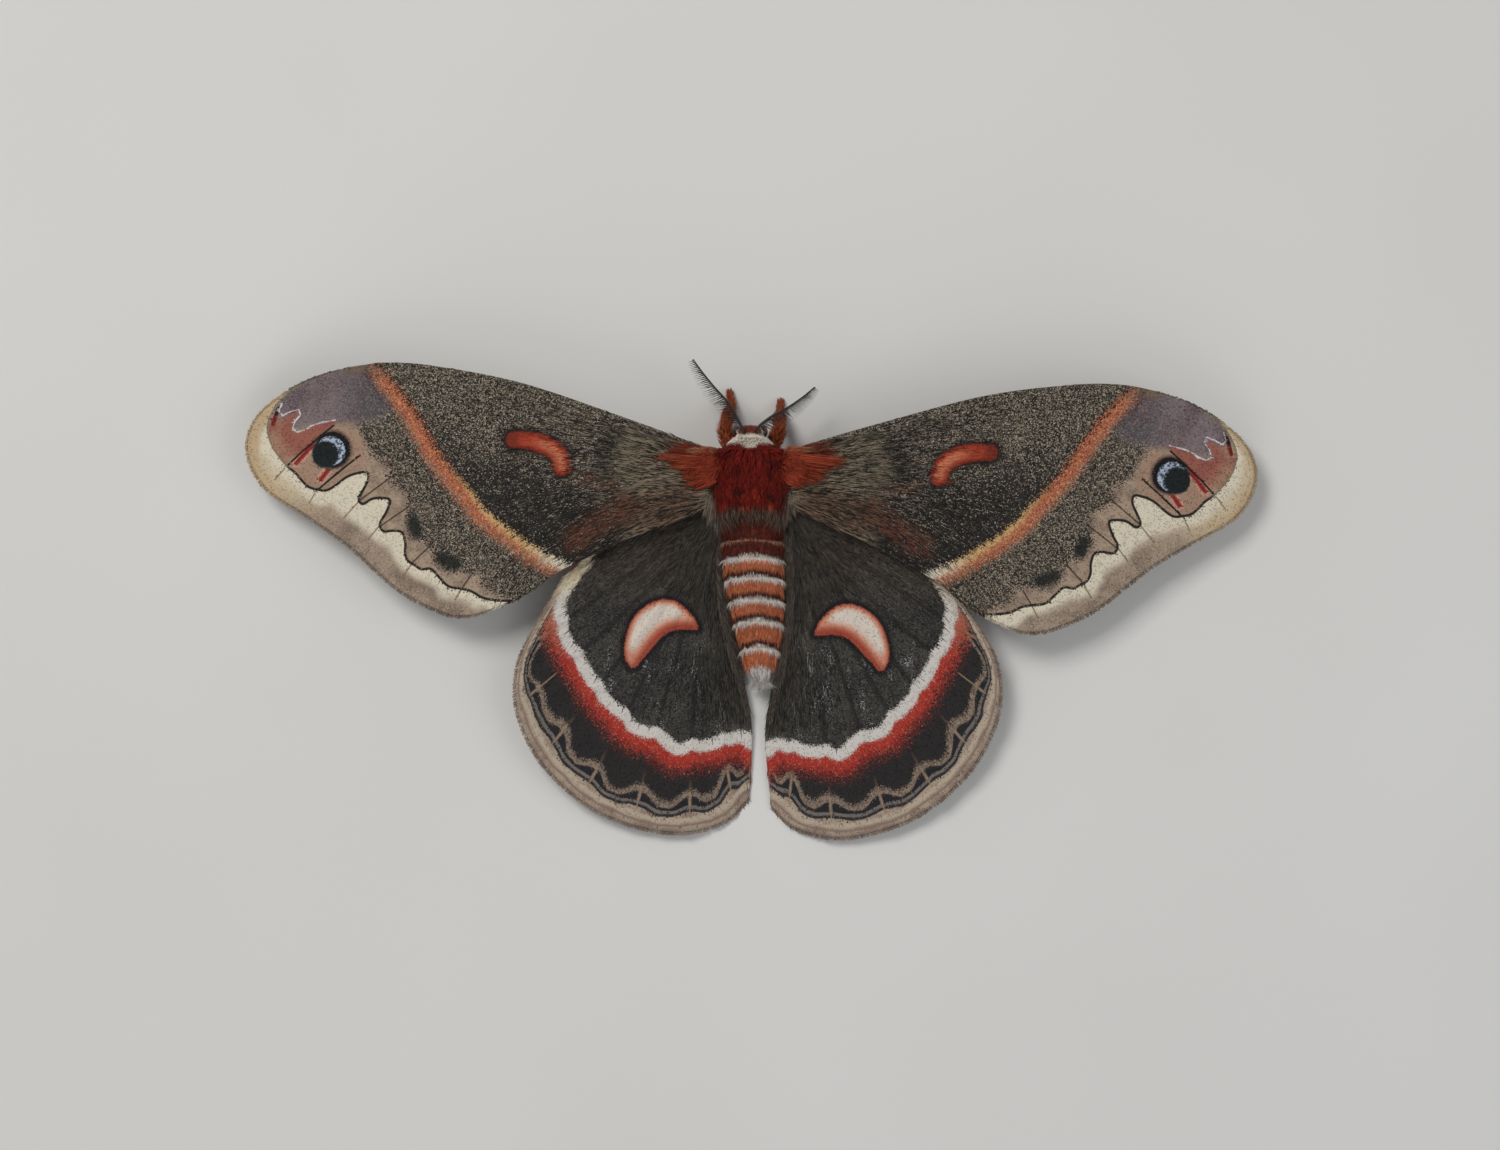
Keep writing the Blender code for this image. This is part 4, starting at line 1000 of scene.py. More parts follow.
def tuft_shape(cuts, blunt=0.0):
    """A unit tuft: where each point is round its middle line and along it, and its triangles."""
    bm = bmesh.new()
    bmesh.ops.create_cone(bm, cap_ends=True, segments=3, radius1=0.5, radius2=blunt, depth=1.0)
    bmesh.ops.remove_doubles(bm, verts=bm.verts, dist=0.0001)
    long_edges = [edge for edge in bm.edges if abs(edge.verts[0].co.z - edge.verts[1].co.z) > 0.5]
    if cuts:
        bmesh.ops.subdivide_edges(bm, edges=long_edges, cuts=cuts)
    bmesh.ops.triangulate(bm, faces=bm.faces)
    bmesh.ops.recalc_face_normals(bm, faces=bm.faces)
    bm.verts.ensure_lookup_table()
    points = np.array([vert.co for vert in bm.verts])
    triangles = np.array([[vert.index for vert in face.verts] for face in bm.faces])
    bm.free()
    way = points[:, 2] + 0.5
    reach = np.hypot(points[:, 0], points[:, 1])
    around = points[:, :2] / np.maximum(reach, 1e-6)[:, None] * (reach > 1e-4)[:, None]
    return around, way, triangles


LONG_TUFT = tuft_shape(2)
SHORT_TUFT = tuft_shape(1)
SCALE = tuft_shape(0, 0.5)
SPINE = tuft_shape(0)


def unit(vectors):
    return vectors / np.maximum(np.linalg.norm(vectors, axis=-1, keepdims=True), 1e-9)


def spread(low, high, count):
    return random.uniform(low, high, count)


def on_map(shares):
    """Places on the bake map, clear of its edge."""
    return shares * 0.98 + 0.005


def along_skin(roots):
    """The way each tuft lies, level with the skin at its root."""
    outward = unit(roots["outward"])
    return unit(roots["along"] - outward * np.sum(roots["along"] * outward, axis=1, keepdims=True))


TUFT_WOBBLE = 6.0
coat_triangles = []


def add_coat(
    name, slot, material, roots, shape, length, width, rise, fall,
    thick=0.4, curl=0.12, wide_tip=False, sink=0.06,
):
    """Copy a tuft to every root. rise and fall are its angles at root and tip, in degrees."""
    around, way, triangles = shape
    count = len(roots["place"])
    length, width = np.broadcast_to(length, count), np.broadcast_to(width, count)
    outward, along = unit(roots["outward"]), along_skin(roots)
    across = np.cross(outward, along)
    rise = np.radians(rise + spread(-TUFT_WOBBLE, TUFT_WOBBLE, count))[:, None]
    fall = np.radians(fall + spread(-TUFT_WOBBLE, TUFT_WOBBLE, count))[:, None]
    angle = rise + (fall - rise) * way[None, :] / 2.0
    forward = length[:, None] * way * np.cos(angle)
    lifted = length[:, None] * way * np.sin(angle) - sink
    bend = length[:, None] * way ** 2 * spread(-curl, curl, count)[:, None]
    profile = 0.4 + 0.6 * way if wide_tip else 1.0 - 0.9 * way ** 1.8
    half = 0.5 * width[:, None] * profile
    points = roots["place"][:, None, :] + along[:, None, :] * forward[..., None]
    points += across[:, None, :] * (bend + half * around[:, 0])[..., None]
    points += outward[:, None, :] * (lifted + half * thick * around[:, 1])[..., None]
    faces = triangles[None, :, :] + (np.arange(count) * len(way))[:, None, None]
    mesh = bpy.data.meshes.new(name)
    mesh.from_pydata(points.reshape(-1, 3) * MM, [], faces.reshape(-1, 3).tolist())
    for mark, values in roots["marks"].items():
        store(mesh, mark, np.repeat(values, len(way), axis=0))
    store(mesh, "tint", np.repeat(spread(0.0, 1.0, count), len(way)))
    store(mesh, "other_tint", np.repeat(spread(0.0, 1.0, count), len(way)))
    store(mesh, "way", np.tile(way, count))
    patch = roots["uv"][:, None, :] + np.stack([around[:, 0] * 0.5, way], axis=1)[None] * BAKE_PATCH
    loops = np.empty(len(mesh.loops), np.int32)
    mesh.loops.foreach_get("vertex_index", loops)
    bake_map = mesh.uv_layers.new(name="OFBake")
    bake_map.data.foreach_set("uv", patch.reshape(-1, 2)[loops].astype(np.float32).ravel())
    mesh.materials.append(material)
    mesh.shade_smooth()
    piece = add_piece(name, mesh, slot)
    coat_triangles.append(len(mesh.polygons))
    print(name, "tufts:", count, "triangles:", len(mesh.polygons))
    return piece


# %% [markdown]
# ## Scales and hair on the wings
# Near the body the wings carry long hair that sweeps outward. Further out the scales lie flat, and the
# odd one that is tan or white stands a little proud and gives the wing its salt and pepper look.

# %% Values between the points of a grid
def blend_corners(values, row, column, down, right):
    """A value inside a cell of a grid, from the values at its corners."""
    if values.ndim == 3:
        down, right = down[:, None], right[:, None]
    upper = values[row, column] * (1.0 - right) + values[row, column + 1] * right
    lower = values[row + 1, column] * (1.0 - right) + values[row + 1, column + 1] * right
    return upper * (1.0 - down) + lower * down


def marks_at(grid, *spot):
    """What the painter reads at some spots of a wing, and the spots' places on the bake map."""
    found = {name: blend_corners(values, *spot) for name, values in grid.items()}
    place = np.column_stack([found.pop("across"), found.pop("share")])
    found["flat"] = on_sheet(found["flat"])
    return found, on_map(place)


# %% Roots on a wing
def wing_roots(pair, side, count, weight, face=1.0):
    """Random roots on a wing, denser where weight is larger. face is -1 on the underside."""
    grid = grids[pair]
    points = wing_surface(pair, side)
    down_edge = points[1:, :-1] - points[:-1, :-1]
    right_edge = points[:-1, 1:] - points[:-1, :-1]
    normal = np.cross(down_edge, right_edge)
    area = np.linalg.norm(normal, axis=2)
    marks = {name: values[:-1, :-1] for name, values in grid.items()}
    chance = (area * weight(marks)).ravel()
    cell = random.choice(chance.size, count, p=chance / chance.sum())
    row, column = np.divmod(cell, points.shape[1] - 1)
    spot = (row, column, spread(0.0, 1.0, count), spread(0.0, 1.0, count))
    outward = unit(normal[row, column])
    outward *= np.sign(outward[:, 2:]) * face
    along = unit(down_edge[row, column]) + spread(-0.16, 0.16, (count, 3))
    place = blend_corners(points, *spot) + outward * (WING_SHEET * 0.5)
    marks, uv = marks_at(grid, *spot)
    return {"place": place, "outward": outward, "along": along, "marks": marks, "uv": uv}


def fringe_roots(pair, side, count):
    """Random roots along a wing's outer edge, with their tufts pointing off it."""
    points = wing_surface(pair, side)
    column = random.integers(0, points.shape[1] - 1, count)
    spot = (np.full(count, points.shape[0] - 2), column, np.ones(count), spread(0.0, 1.0, count))
    edge_way = points[-1, 1:] - points[-1, :-1]
    off_edge = points[-1, :-1] - points[-2, :-1]
    outward = unit(np.cross(off_edge, edge_way))[column]
    outward *= np.where(outward[:, 2:] < 0.0, -1.0, 1.0)
    place = blend_corners(points, *spot) + outward * spread(-0.1, 0.12, (count, 1))
    along = unit(off_edge[column]) + spread(-0.2, 0.2, (count, 3))
    marks, uv = marks_at(grids[pair], *spot)
    return {"place": place, "outward": outward, "along": along, "marks": marks, "uv": uv}


# %% Hair and scale materials
def wing_coat_finish(pair):
    f = Finish(f"{pair}wing_coat", Roughness=0.6, Specular_IOR_Level=0.3)
    tint, other = f.attribute("tint"), f.attribute("other_tint")
    colour = WING_COLOURS[pair](f, tint, other, other)
    # Painted shade and light along each hair: darker at the root, brighter at the tip.
    painted_hair_shading = f.plus(f.times(f.attribute("way"), 0.3), 0.85)
    f.colour(f.brighten(colour, painted_hair_shading))
    return f.material


wing_coat = {pair: wing_coat_finish(pair) for pair in WINGS}


def fore_hair_weight(marks):
    out = marks["flat"][..., 0]
    weight = np.exp(-np.maximum(out - 5.0, 0.0) / 11.0) * (out < 36.0)
    return weight * np.clip(marks["costa"] / 1.5, 0.05, 1.0)


def hind_hair_weight(marks):
    ahead = marks["flat"][..., 1]
    near_body = np.exp(-marks["inner"] / 4.0) * (ahead > -17.0)
    weight = near_body + 0.8 * np.exp(-np.maximum(9.0 - ahead, 0.0) / 5.0)
    return weight * np.clip((marks["crescent"] - 1.2) / 1.8, 0.0, 1.0)


def scale_weight(marks):
    return np.ones(marks["edge"].shape)


HAIR_WEIGHT = {"fore": fore_hair_weight, "hind": hind_hair_weight}


def hair_lengths(pair, roots):
    """Hair is longest beside the body."""
    marks = roots["marks"]
    near = marks["flat"][:, 0] - 5.0 if pair == "fore" else marks["inner"] * 1.6
    longest = 2.2 if pair == "fore" else 1.4
    return (1.3 + longest * np.exp(-np.maximum(near, 0.0) / 8.0)) * spread(0.7, 1.15, len(near))


# %% Coat of the wings
HAIR_COUNT = {"fore": 8500, "hind": 8500}
SCALE_COUNT = {"fore": 10400, "hind": 6500}
UNDER_COUNT = {"fore": 3200, "hind": 2600}
FRINGE_COUNT = 1500
for pair in WINGS:
    for side in SIDES:
        slot, finish = f"{pair}wing", wing_coat[pair]
        roots = wing_roots(pair, side, HAIR_COUNT[pair], HAIR_WEIGHT[pair])
        length = hair_lengths(pair, roots)
        add_coat(f"{slot}_hair_{side}", slot, finish, roots, SHORT_TUFT, length, 0.15, 12.0, -3.0, thick=0.3)
        roots = wing_roots(pair, side, SCALE_COUNT[pair], scale_weight)
        length = spread(0.3, 0.45, SCALE_COUNT[pair])
        add_coat(
            f"{slot}_scales_{side}", slot, finish, roots, SCALE, length, 0.19, 12.0, 6.0,
            thick=0.16, wide_tip=True, sink=0.03,
        )
        roots = wing_roots(pair, side, UNDER_COUNT[pair], scale_weight, -1.0)
        length = 0.6 * hair_lengths(pair, roots)
        add_coat(f"{slot}_under_{side}", slot, finish, roots, SHORT_TUFT, length, 0.17, 10.0, -3.0, thick=0.3)
        roots = fringe_roots(pair, side, FRINGE_COUNT)
        length = spread(0.3, 0.6, FRINGE_COUNT)
        add_coat(
            f"{slot}_fringe_{side}", slot, finish, roots, SCALE, length, 0.16, 3.0, -6.0,
            thick=0.2, wide_tip=True,
        )

# %% [markdown]
# ## The body's skin
# Head, collar, thorax and abdomen share one skin, turned about the long axis like a vase and then bent
# along the body's line, so no seam shows between them. It lies a little inside the solids, because the
# coat fills the rest.

# %% Body stations
# Each station of the body: ahead, radius, out, up and how much lower it is than wide.
BODY_STATIONS = (
    (-10.9, 0.3, 1.6, 2.5, 0.92), (-10.5, 1.0, 1.55, 2.5, 0.92), (-9.2, 1.9, 1.45, 2.5, 0.92),
    (-6.9, 2.5, 1.38, 2.48, 0.92), (-3.2, 3.2, 1.2, 3.6, 0.92), (0.4, 3.6, 0.85, 4.8, 0.92),
    (4.5, 4.0, 0.5, 5.8, 0.92), (8.5, 4.1, 0.36, 6.7, 0.92), (10.6, 4.0, 0.25, 7.2, 0.92),
    (12.2, 4.0, 0.15, 7.6, 0.9), (14.2, 4.5, 0.05, 7.9, 0.88), (17.4, 4.9, 0.0, 8.0, 0.87),
    (20.2, 4.5, 0.0, 8.0, 0.88), (21.4, 3.9, 0.0, 8.1, 0.9), (22.1, 3.1, 0.0, 8.2, 0.93),
    (22.7, 2.75, 0.0, 8.2, 0.96), (23.3, 2.2, 0.0, 8.0, 0.98), (23.8, 1.75, 0.0, 7.75, 1.0),
    (24.3, 1.75, 0.0, 7.55, 1.02), (24.7, 1.5, 0.0, 7.5, 1.02), (24.95, 0.95, 0.0, 7.5, 1.02),
    (25.1, 0.35, 0.0, 7.5, 1.0),
)
SEGMENT_ENDS = (11.9, 9.0, 6.45, 3.6, 0.45, -2.75, -6.65, -10.6)
SEGMENT_GROOVE, GROOVE_WIDTH = 0.2, 0.35
BODY_RINGS = 190
BODY_SIDES = 88


def body_spot(ahead, angle):
    """Points on the body's skin. Angle 0 is the middle of the back."""
    radius, out, up, flatten = smooth_at(BODY_STATIONS, ahead).T
    ends = np.array(SEGMENT_ENDS)
    gap = np.min(np.abs(np.atleast_1d(ahead)[:, None] - ends[None, :]), axis=1)
    radius = radius - SEGMENT_GROOVE * np.exp(-((gap / GROOVE_WIDTH) ** 2))
    return np.column_stack([radius * np.sin(angle) + out, ahead, radius * np.cos(angle) * flatten + up])


def body_frame(ahead, angle):
    """Points on the skin, the way out of it, and the way back along it."""
    step = 0.04
    place = body_spot(ahead, angle)
    forward = body_spot(ahead + step, angle) - body_spot(ahead - step, angle)
    sideways = body_spot(ahead, angle + step) - body_spot(ahead, angle - step)
    return place, unit(np.cross(sideways, forward)), -unit(forward)


# %% Body colours
BODY_RAMP_FROM, BODY_RAMP_SPAN = -14.0, 42.0
RED_BROWN = shade(80, 30, 19)
DEEP_RED = shade(112, 18, 9)
RING_WHITE = shade(222, 212, 202)
RING_ORANGE = shade(206, 120, 80)
RING_DARK = shade(70, 30, 20)
COLLAR_WHITE = shade(240, 230, 216)
REAR_HAIR = shade(120, 104, 90)
RING_PLACES = (5.92, 3.03, -0.14, -3.32, -7.2)


def body_stops():
    """Colours along the body, from tail to head, as (share of the ramp, colour)."""
    stops = [(-14.0, RING_WHITE), (-9.9, RING_WHITE), (-9.6, RING_ORANGE)]
    for middle in reversed(RING_PLACES):
        stops += [(middle - 0.62, RING_ORANGE), (middle - 0.42, RING_WHITE), (middle + 0.38, RING_WHITE)]
        stops += [(middle + 0.52, RING_DARK), (middle + 0.95, RING_DARK if middle < 5.0 else RED_BROWN)]
        if middle < 5.0:
            stops.append((middle + 1.3, RING_ORANGE))
    return [((ahead - BODY_RAMP_FROM) / BODY_RAMP_SPAN, colour) for ahead, colour in stops]


def thorax_colour(f, ahead, other):
    """Deep red plush with warmer locks, and grey-brown hair at its rear edge."""
    red = f.mix(DEEP_RED, shade(146, 36, 14), f.step(other, 0.55, 0.95))
    lock = f.both(f.step(f.attribute("clump"), 0.55, 1.0), f.step(ahead, 17.5, 15.5))
    red = f.mix(red, shade(158, 50, 20), lock)
    red = f.mix(red, shade(72, 12, 8), f.step(f.noise(420.0, 2.0), 0.5, 0.7))
    side = f.both(f.step(f.attribute("around"), 0.85, 1.3), f.step(ahead, 21.0, 18.5))
    red = f.mix(red, shade(74, 36, 24), f.times(side, 0.7))
    rear = f.mix(REAR_HAIR, shade(64, 44, 34), f.step(other, 0.3, 0.7))
    return f.mix(rear, red, f.step(ahead, 13.7, 14.5))


def body_colour(f, tint, other, lag=0.0):
    """Red thorax, white collar and ringed abdomen. lag is how far hair hangs back from its root."""
    bow = f.times(f.step(f.attribute("around"), 0.95, 0.0), 0.45)
    ahead = f.plus(f.attribute("ahead"), f.times(f.less(tint, 0.5), 0.25))
    ahead = f.less(ahead, lag)
    bowed = f.less(ahead, bow)
    share = f.math("DIVIDE", f.less(bowed, BODY_RAMP_FROM), BODY_RAMP_SPAN)
    rings = f.ramp(share, body_stops())
    arcs = f.math("MAXIMUM", f.between(bowed, 8.2, 8.6, 0.12), f.between(bowed, 11.2, 11.6, 0.12))
    front = f.mix(RED_BROWN, shade(128, 44, 22), f.step(other, 0.4, 0.9))
    front = f.mix(front, shade(164, 124, 102), f.times(arcs, 0.8))
    colour = f.mix(rings, front, f.step(bowed, 6.5, 6.75))
    colour = f.mix(colour, thorax_colour(f, ahead, other), f.step(ahead, 12.2, 12.8))
    notch = f.times(f.step(f.attribute("around"), 0.0, 0.5), 0.5)
    collar = f.step(f.less(ahead, notch), 21.7, 22.0)
    colour = f.mix(colour, COLLAR_WHITE, collar)
    crest = f.both(f.step(ahead, 23.25, 23.6), f.step(f.attribute("around"), 1.25, 0.95))
    colour = f.mix(colour, shade(128, 58, 42), crest)
    chin = f.both(f.step(ahead, 23.6, 23.9), f.step(f.attribute("around"), 1.7, 2.1))
    colour = f.mix(colour, shade(140, 58, 34), chin)
    below = f.both(f.step(f.attribute("around"), 1.9, 2.5), f.step(ahead, 12.0, 11.0))
    return f.mix(colour, shade(196, 176, 160), f.times(below, 0.6))


def body_finish():
    f = Finish("body_skin", Roughness=0.85)
    parts, height = f.grains(3600.0)
    # The skin takes the body's colours darkened to 0.7: painted shade for the gaps under the coat.
    f.colour(f.brighten(body_colour(f, parts.outputs[0], parts.outputs[1]), 0.7))
    f.bump(height, 0.00008, 0.7)
    return f.material


HAIR_LAG = 0.4


def body_fur_finish():
    f = Finish("body_fur", Roughness=0.62, Specular_IOR_Level=0.3)
    colour = body_colour(f, f.attribute("tint"), f.attribute("other_tint"), HAIR_LAG)
    # Painted shade and light along each hair: darker at the root, brighter at the tip. Each lock then adds a
    # random tone of its own.
    painted_hair_shading = f.plus(f.times(f.attribute("way"), 0.4), 0.66)
    painted_hair_shading = f.plus(painted_hair_shading, f.times(f.attribute("clump"), 0.34))
    f.colour(f.brighten(colour, painted_hair_shading))
    return f.material


body_skin_finish, body_fur = body_finish(), body_fur_finish()

# %% Body skin
rings = np.linspace(BODY_STATIONS[0][0], BODY_STATIONS[-1][0], BODY_RINGS)
bm = bmesh.new()
profile = [bm.verts.new((0.0, rings[0], 0.0))]
profile += [bm.verts.new((1.0, ahead, 0.0)) for ahead in rings]
profile.append(bm.verts.new((0.0, rings[-1], 0.0)))
edges = [bm.edges.new(ends) for ends in zip(profile, profile[1:])]
bmesh.ops.spin(
    bm, geom=profile + edges, cent=(0, 0, 0), axis=(0, 1, 0),
    angle=math.tau, steps=BODY_SIDES, use_merge=True,
)
bmesh.ops.remove_doubles(bm, verts=bm.verts, dist=0.0001)
bmesh.ops.recalc_face_normals(bm, faces=bm.faces)
turned = np.array([vert.co for vert in bm.verts])
around = np.arctan2(turned[:, 0], turned[:, 2])
placed = body_spot(turned[:, 1], around)
middle = smooth_at(BODY_STATIONS, turned[:, 1])
at_axis = np.hypot(turned[:, 0], turned[:, 2]) < 0.5
placed[at_axis, 0], placed[at_axis, 2] = middle[at_axis, 1], middle[at_axis, 2]
for vert, place in zip(bm.verts, placed * MM):
    vert.co = place
mesh = mesh_of(bm, "body_skin", body_skin_finish)
store(mesh, "ahead", turned[:, 1])
store(mesh, "around", np.abs(around))
add_piece("body_skin", mesh, "thorax_fur", "head", "collar", "thorax", "abdomen")
print("body skin faces:", len(mesh.polygons))


# %% [markdown]
# ## The body's coat
# The thorax carries a deep plush of dark red hair. The collar's white hair stands up in a ruff. The
# abdomen's hair is short and lies back ring over ring, and a white tuft closes its end.

# %% Hair of one colour
def warm_fur_finish(name, dark, light, tip):
    """Hair of one warm colour that varies from tuft to tuft."""
    f = Finish(name, Roughness=0.62, Specular_IOR_Level=0.3)
    colour = f.mix(dark, light, f.attribute("tint"))
    at_tip = f.both(f.step(f.attribute("way"), 0.4, 1.0), f.step(f.attribute("other_tint"), 0.3, 0.9))
    f.colour(f.mix(colour, tip, at_tip))
    return f.material


# %% Roots on the body
SPARE_ROOTS = 4


def body_roots(first, last, count, density=None):
    """Random roots between two places along the body, denser where density is larger."""
    tried = count * SPARE_ROOTS
    ahead = spread(first, last, tried)
    radius = smooth_at(BODY_STATIONS, ahead)[:, 0]
    angle = spread(-math.pi, math.pi, tried)
    chance = radius if density is None else radius * density(angle)
    kept = random.choice(tried, count, replace=False, p=chance / chance.sum())
    ahead, angle = ahead[kept], angle[kept]
    place, outward, back = body_frame(ahead, angle)
    first, last = BODY_STATIONS[0][0], BODY_STATIONS[-1][0]
    uv = on_map(np.column_stack([angle / math.tau + 0.5, (ahead - first) / (last - first)]))
    return {
        "place": place, "outward": outward, "along": back + spread(-0.2, 0.2, (count, 3)),
        "marks": {"ahead": ahead, "around": np.abs(angle)}, "uv": uv, "ahead": ahead, "angle": angle,
    }


FLOOR_GAP = 0.05


def clear_of_floor(roots, reach):
    """Keep tufts on the belly from passing the floor."""
    room = (roots["place"][:, 2] - FLOOR_GAP) / np.maximum(-roots["outward"][:, 2], 0.05)
    return np.where(roots["outward"][:, 2] < 0.0, np.clip(room / reach, 0.15, 1.0), 1.0)


def clumped(roots, number, pull):
    """Lean the tufts of a coat together in locks, each with a shade of its own."""
    place = roots["place"]
    centres = place[random.choice(len(place), number, replace=False)]
    apart = np.sum(centres ** 2, axis=1)[None, :] - 2.0 * place @ centres.T
    nearest = np.argmin(apart, axis=1)
    roots["along"] = roots["along"] + (centres[nearest] - place) * pull
    roots["marks"]["clump"] = spread(0.0, 1.0, number)[nearest]
    return roots


# %% Fur of the thorax
THORAX_HAIRS = 13500
roots = clumped(body_roots(12.2, 22.2, THORAX_HAIRS), 420, 0.5)
rear = np.clip((16.5 - roots["ahead"]) / 4.0, 0.0, 1.0)
flank = np.clip((np.abs(roots["angle"]) - 0.5) / 0.6, 0.0, 1.0)
length = (1.7 + 1.0 * rear + 1.1 * flank) * spread(0.65, 1.2, THORAX_HAIRS)
rise = 40.0 - 14.0 * rear + 14.0 * flank + spread(-10.0, 10.0, THORAX_HAIRS)
add_coat("thorax_fur", "thorax_fur", body_fur, roots, SHORT_TUFT, length, 0.16, rise, -4.0, curl=0.3)

# %% Fur of the abdomen
ABDOMEN_HAIRS = 12500
roots = clumped(body_roots(-10.7, 12.4, ABDOMEN_HAIRS), 700, 0.25)
length = 0.95 * spread(0.75, 1.25, ABDOMEN_HAIRS) * clear_of_floor(roots, 0.7)
add_coat("abdomen_fur", "abdomen_fur", body_fur, roots, SHORT_TUFT, length, 0.15, 24.0, -4.0)

SIDE_HAIRS = 2200


def on_flank(angle):
    return np.abs(np.abs(angle) - 1.5) < 0.4


roots = clumped(body_roots(-9.5, 12.0, SIDE_HAIRS, on_flank), 260, 0.3)
roots["along"] = roots["along"] + roots["outward"] * 0.2
length = 1.7 * spread(0.7, 1.2, SIDE_HAIRS)
add_coat("abdomen_side_fur", "abdomen_fur", body_fur, roots, SHORT_TUFT, length, 0.14, 38.0, 4.0, curl=0.25)

TAIL_HAIRS = 1800
white_tail = warm_fur_finish("tail_fur", shade(178, 170, 164), shade(218, 210, 204), shade(234, 228, 222))
roots = body_roots(-10.9, -9.3, TAIL_HAIRS)
length = 3.9 * spread(0.5, 1.05, TAIL_HAIRS) * clear_of_floor(roots, 2.4)
# A tuft that points down is cut short where it would pass the floor.
back, outward = along_skin(roots), roots["outward"]
droop = 0.12 + np.maximum(-back[:, 2], 0.0) + 0.25 * np.maximum(-outward[:, 2], 0.0)
length = np.minimum(length, (roots["place"][:, 2] - 0.1) / droop)
add_coat("tail_tuft", "abdomen_fur", white_tail, roots, LONG_TUFT, length, 0.2, 14.0, -4.0)

# %% Fur of the collar
COLLAR_HAIRS = 4600
roots = clumped(body_roots(21.9, 23.6, COLLAR_HAIRS), 160, 0.3)
length = (1.05 - 0.2 * (roots["ahead"] - 21.9)) * spread(0.8, 1.15, COLLAR_HAIRS)
add_coat("collar_ruff", "collar_fur", body_fur, roots, SHORT_TUFT, length, 0.15, 58.0, 16.0, curl=0.25)

# %% [markdown]
# ## Head, eyes and palps
# The head is small and half hidden by the ruff. It has two round compound eyes, a tuft between the
# antennae, and two short furry palps below.

# %% Tubes along a route
def tube(route, radii, sides, rings):
    """A closed tube along a smooth route. radii are (share, radius) stations."""
    bm = bmesh.new()
    bmesh.ops.create_cone(bm, cap_ends=True, segments=sides, radius1=1.0, radius2=1.0, depth=1.0)
    long_edges = [edge for edge in bm.edges if abs(edge.verts[0].co.z - edge.verts[1].co.z) > 0.5]
    bmesh.ops.subdivide_edges(bm, edges=long_edges, cuts=rings - 1)
    points = np.array([vert.co for vert in bm.verts])
    share = np.clip(points[:, 2] + 0.5, 0.0, 1.0)
    centre, _, level, upright = route_frame(route, share)
    placed = centre + (level * points[:, :1] + upright * points[:, 1:2]) * smooth_at(radii, share)
    for vert, place in zip(bm.verts, placed * MM):
        vert.co = place
    bmesh.ops.recalc_face_normals(bm, faces=bm.faces)
    return bm


def route_frame(route, share):
    """Points on a route, the way along it, and two ways across it."""
    step = 0.01
    centre = through(route, share)
    before, after = np.maximum(share - step, 0.0), np.minimum(share + step, 1.0)
    along = unit(through(route, after) - through(route, before))
    level = unit(np.cross(along, np.array((0.0, 0.0, 1.0))) + np.array((1e-6, 0.0, 0.0)))
    return centre, along, level, np.cross(level, along)


def route_roots(route, radii, count, strip):
    """Random roots on a tube, with its hair lying towards its end. strip places it on the bake map."""
    share, angle = spread(0.02, 0.98, count), spread(-math.pi, math.pi, count)
    centre, along, level, upright = route_frame(route, share)
    outward = level * np.cos(angle)[:, None] + upright * np.sin(angle)[:, None]
    place = centre + outward * smooth_at(radii, share)
    uv = np.column_stack([(angle / math.tau + 0.5) * 0.11 + strip, on_map(share)])
    along = along + spread(-0.25, 0.25, (count, 3))
    return {"place": place, "outward": outward, "along": along, "marks": {"share": share}, "uv": uv}


def tube_piece(name, slot, material, route, radii, nodes=(), sides=12, rings=24):
    return add_piece(name, mesh_of(tube(route, radii, sides, rings), name, material), slot, *nodes)


def joined(roots):
    """Several sets of roots as one."""
    marks = {name: np.concatenate([part["marks"][name] for part in roots]) for name in roots[0]["marks"]}
    keys = ("place", "outward", "along", "uv")
    found = {key: np.concatenate([part[key] for part in roots]) for key in keys}
    return {**found, "marks": marks}


# %% Eyes
EYE_RADIUS = 0.95
EYE_SHAPE = (0.86 * EYE_RADIUS, EYE_RADIUS, EYE_RADIUS)
EYE_PLACE = (1.75, 24.4, 7.0)


def eye_finish():
    f = Finish("compound_eye", Roughness=0.22, Coat_Weight=0.5, Coat_Roughness=0.12)
    _, facets = f.grains(9500.0)
    f.colour(f.mix(shade(44, 22, 14), shade(20, 11, 9), f.noise(900.0)))
    f.bump(facets, 0.00004, 0.6)
    return f.material


def ball(name, slot, finish, node, subdivisions, stretch, place):
    """A round piece in place of one solid. It is shaped in millimetres and then made life size."""
    bm = bmesh.new()
    bmesh.ops.create_icosphere(bm, subdivisions=subdivisions, radius=1.0)
    bmesh.ops.scale(bm, vec=stretch, verts=bm.verts)
    bmesh.ops.translate(bm, vec=place, verts=bm.verts)
    bmesh.ops.scale(bm, vec=(MM, MM, MM), verts=bm.verts)
    add_piece(name, mesh_of(bm, name, finish), slot, node)


def on_side(sign, places):
    """Places of (out, ahead, up) on one side of the moth."""
    return np.array(places) * (sign, 1.0, 1.0)


compound_eye = eye_finish()
for side, sign in SIDES.items():
    place = on_side(sign, EYE_PLACE)
    ball(f"compound_eye_{side}", "eye", compound_eye, f"eye_{side}", 5, EYE_SHAPE, place)


# %% Fur of the head
def bare_finish(name, dark, light):
    """The skin of a leg or a palp under its hair."""
    f = Finish(name, Roughness=0.55)
    f.colour(f.mix(dark, light, f.noise(1500.0)))
    _, height = f.grains(5000.0)
    f.bump(height, 0.00003, 0.5)
    return f.material


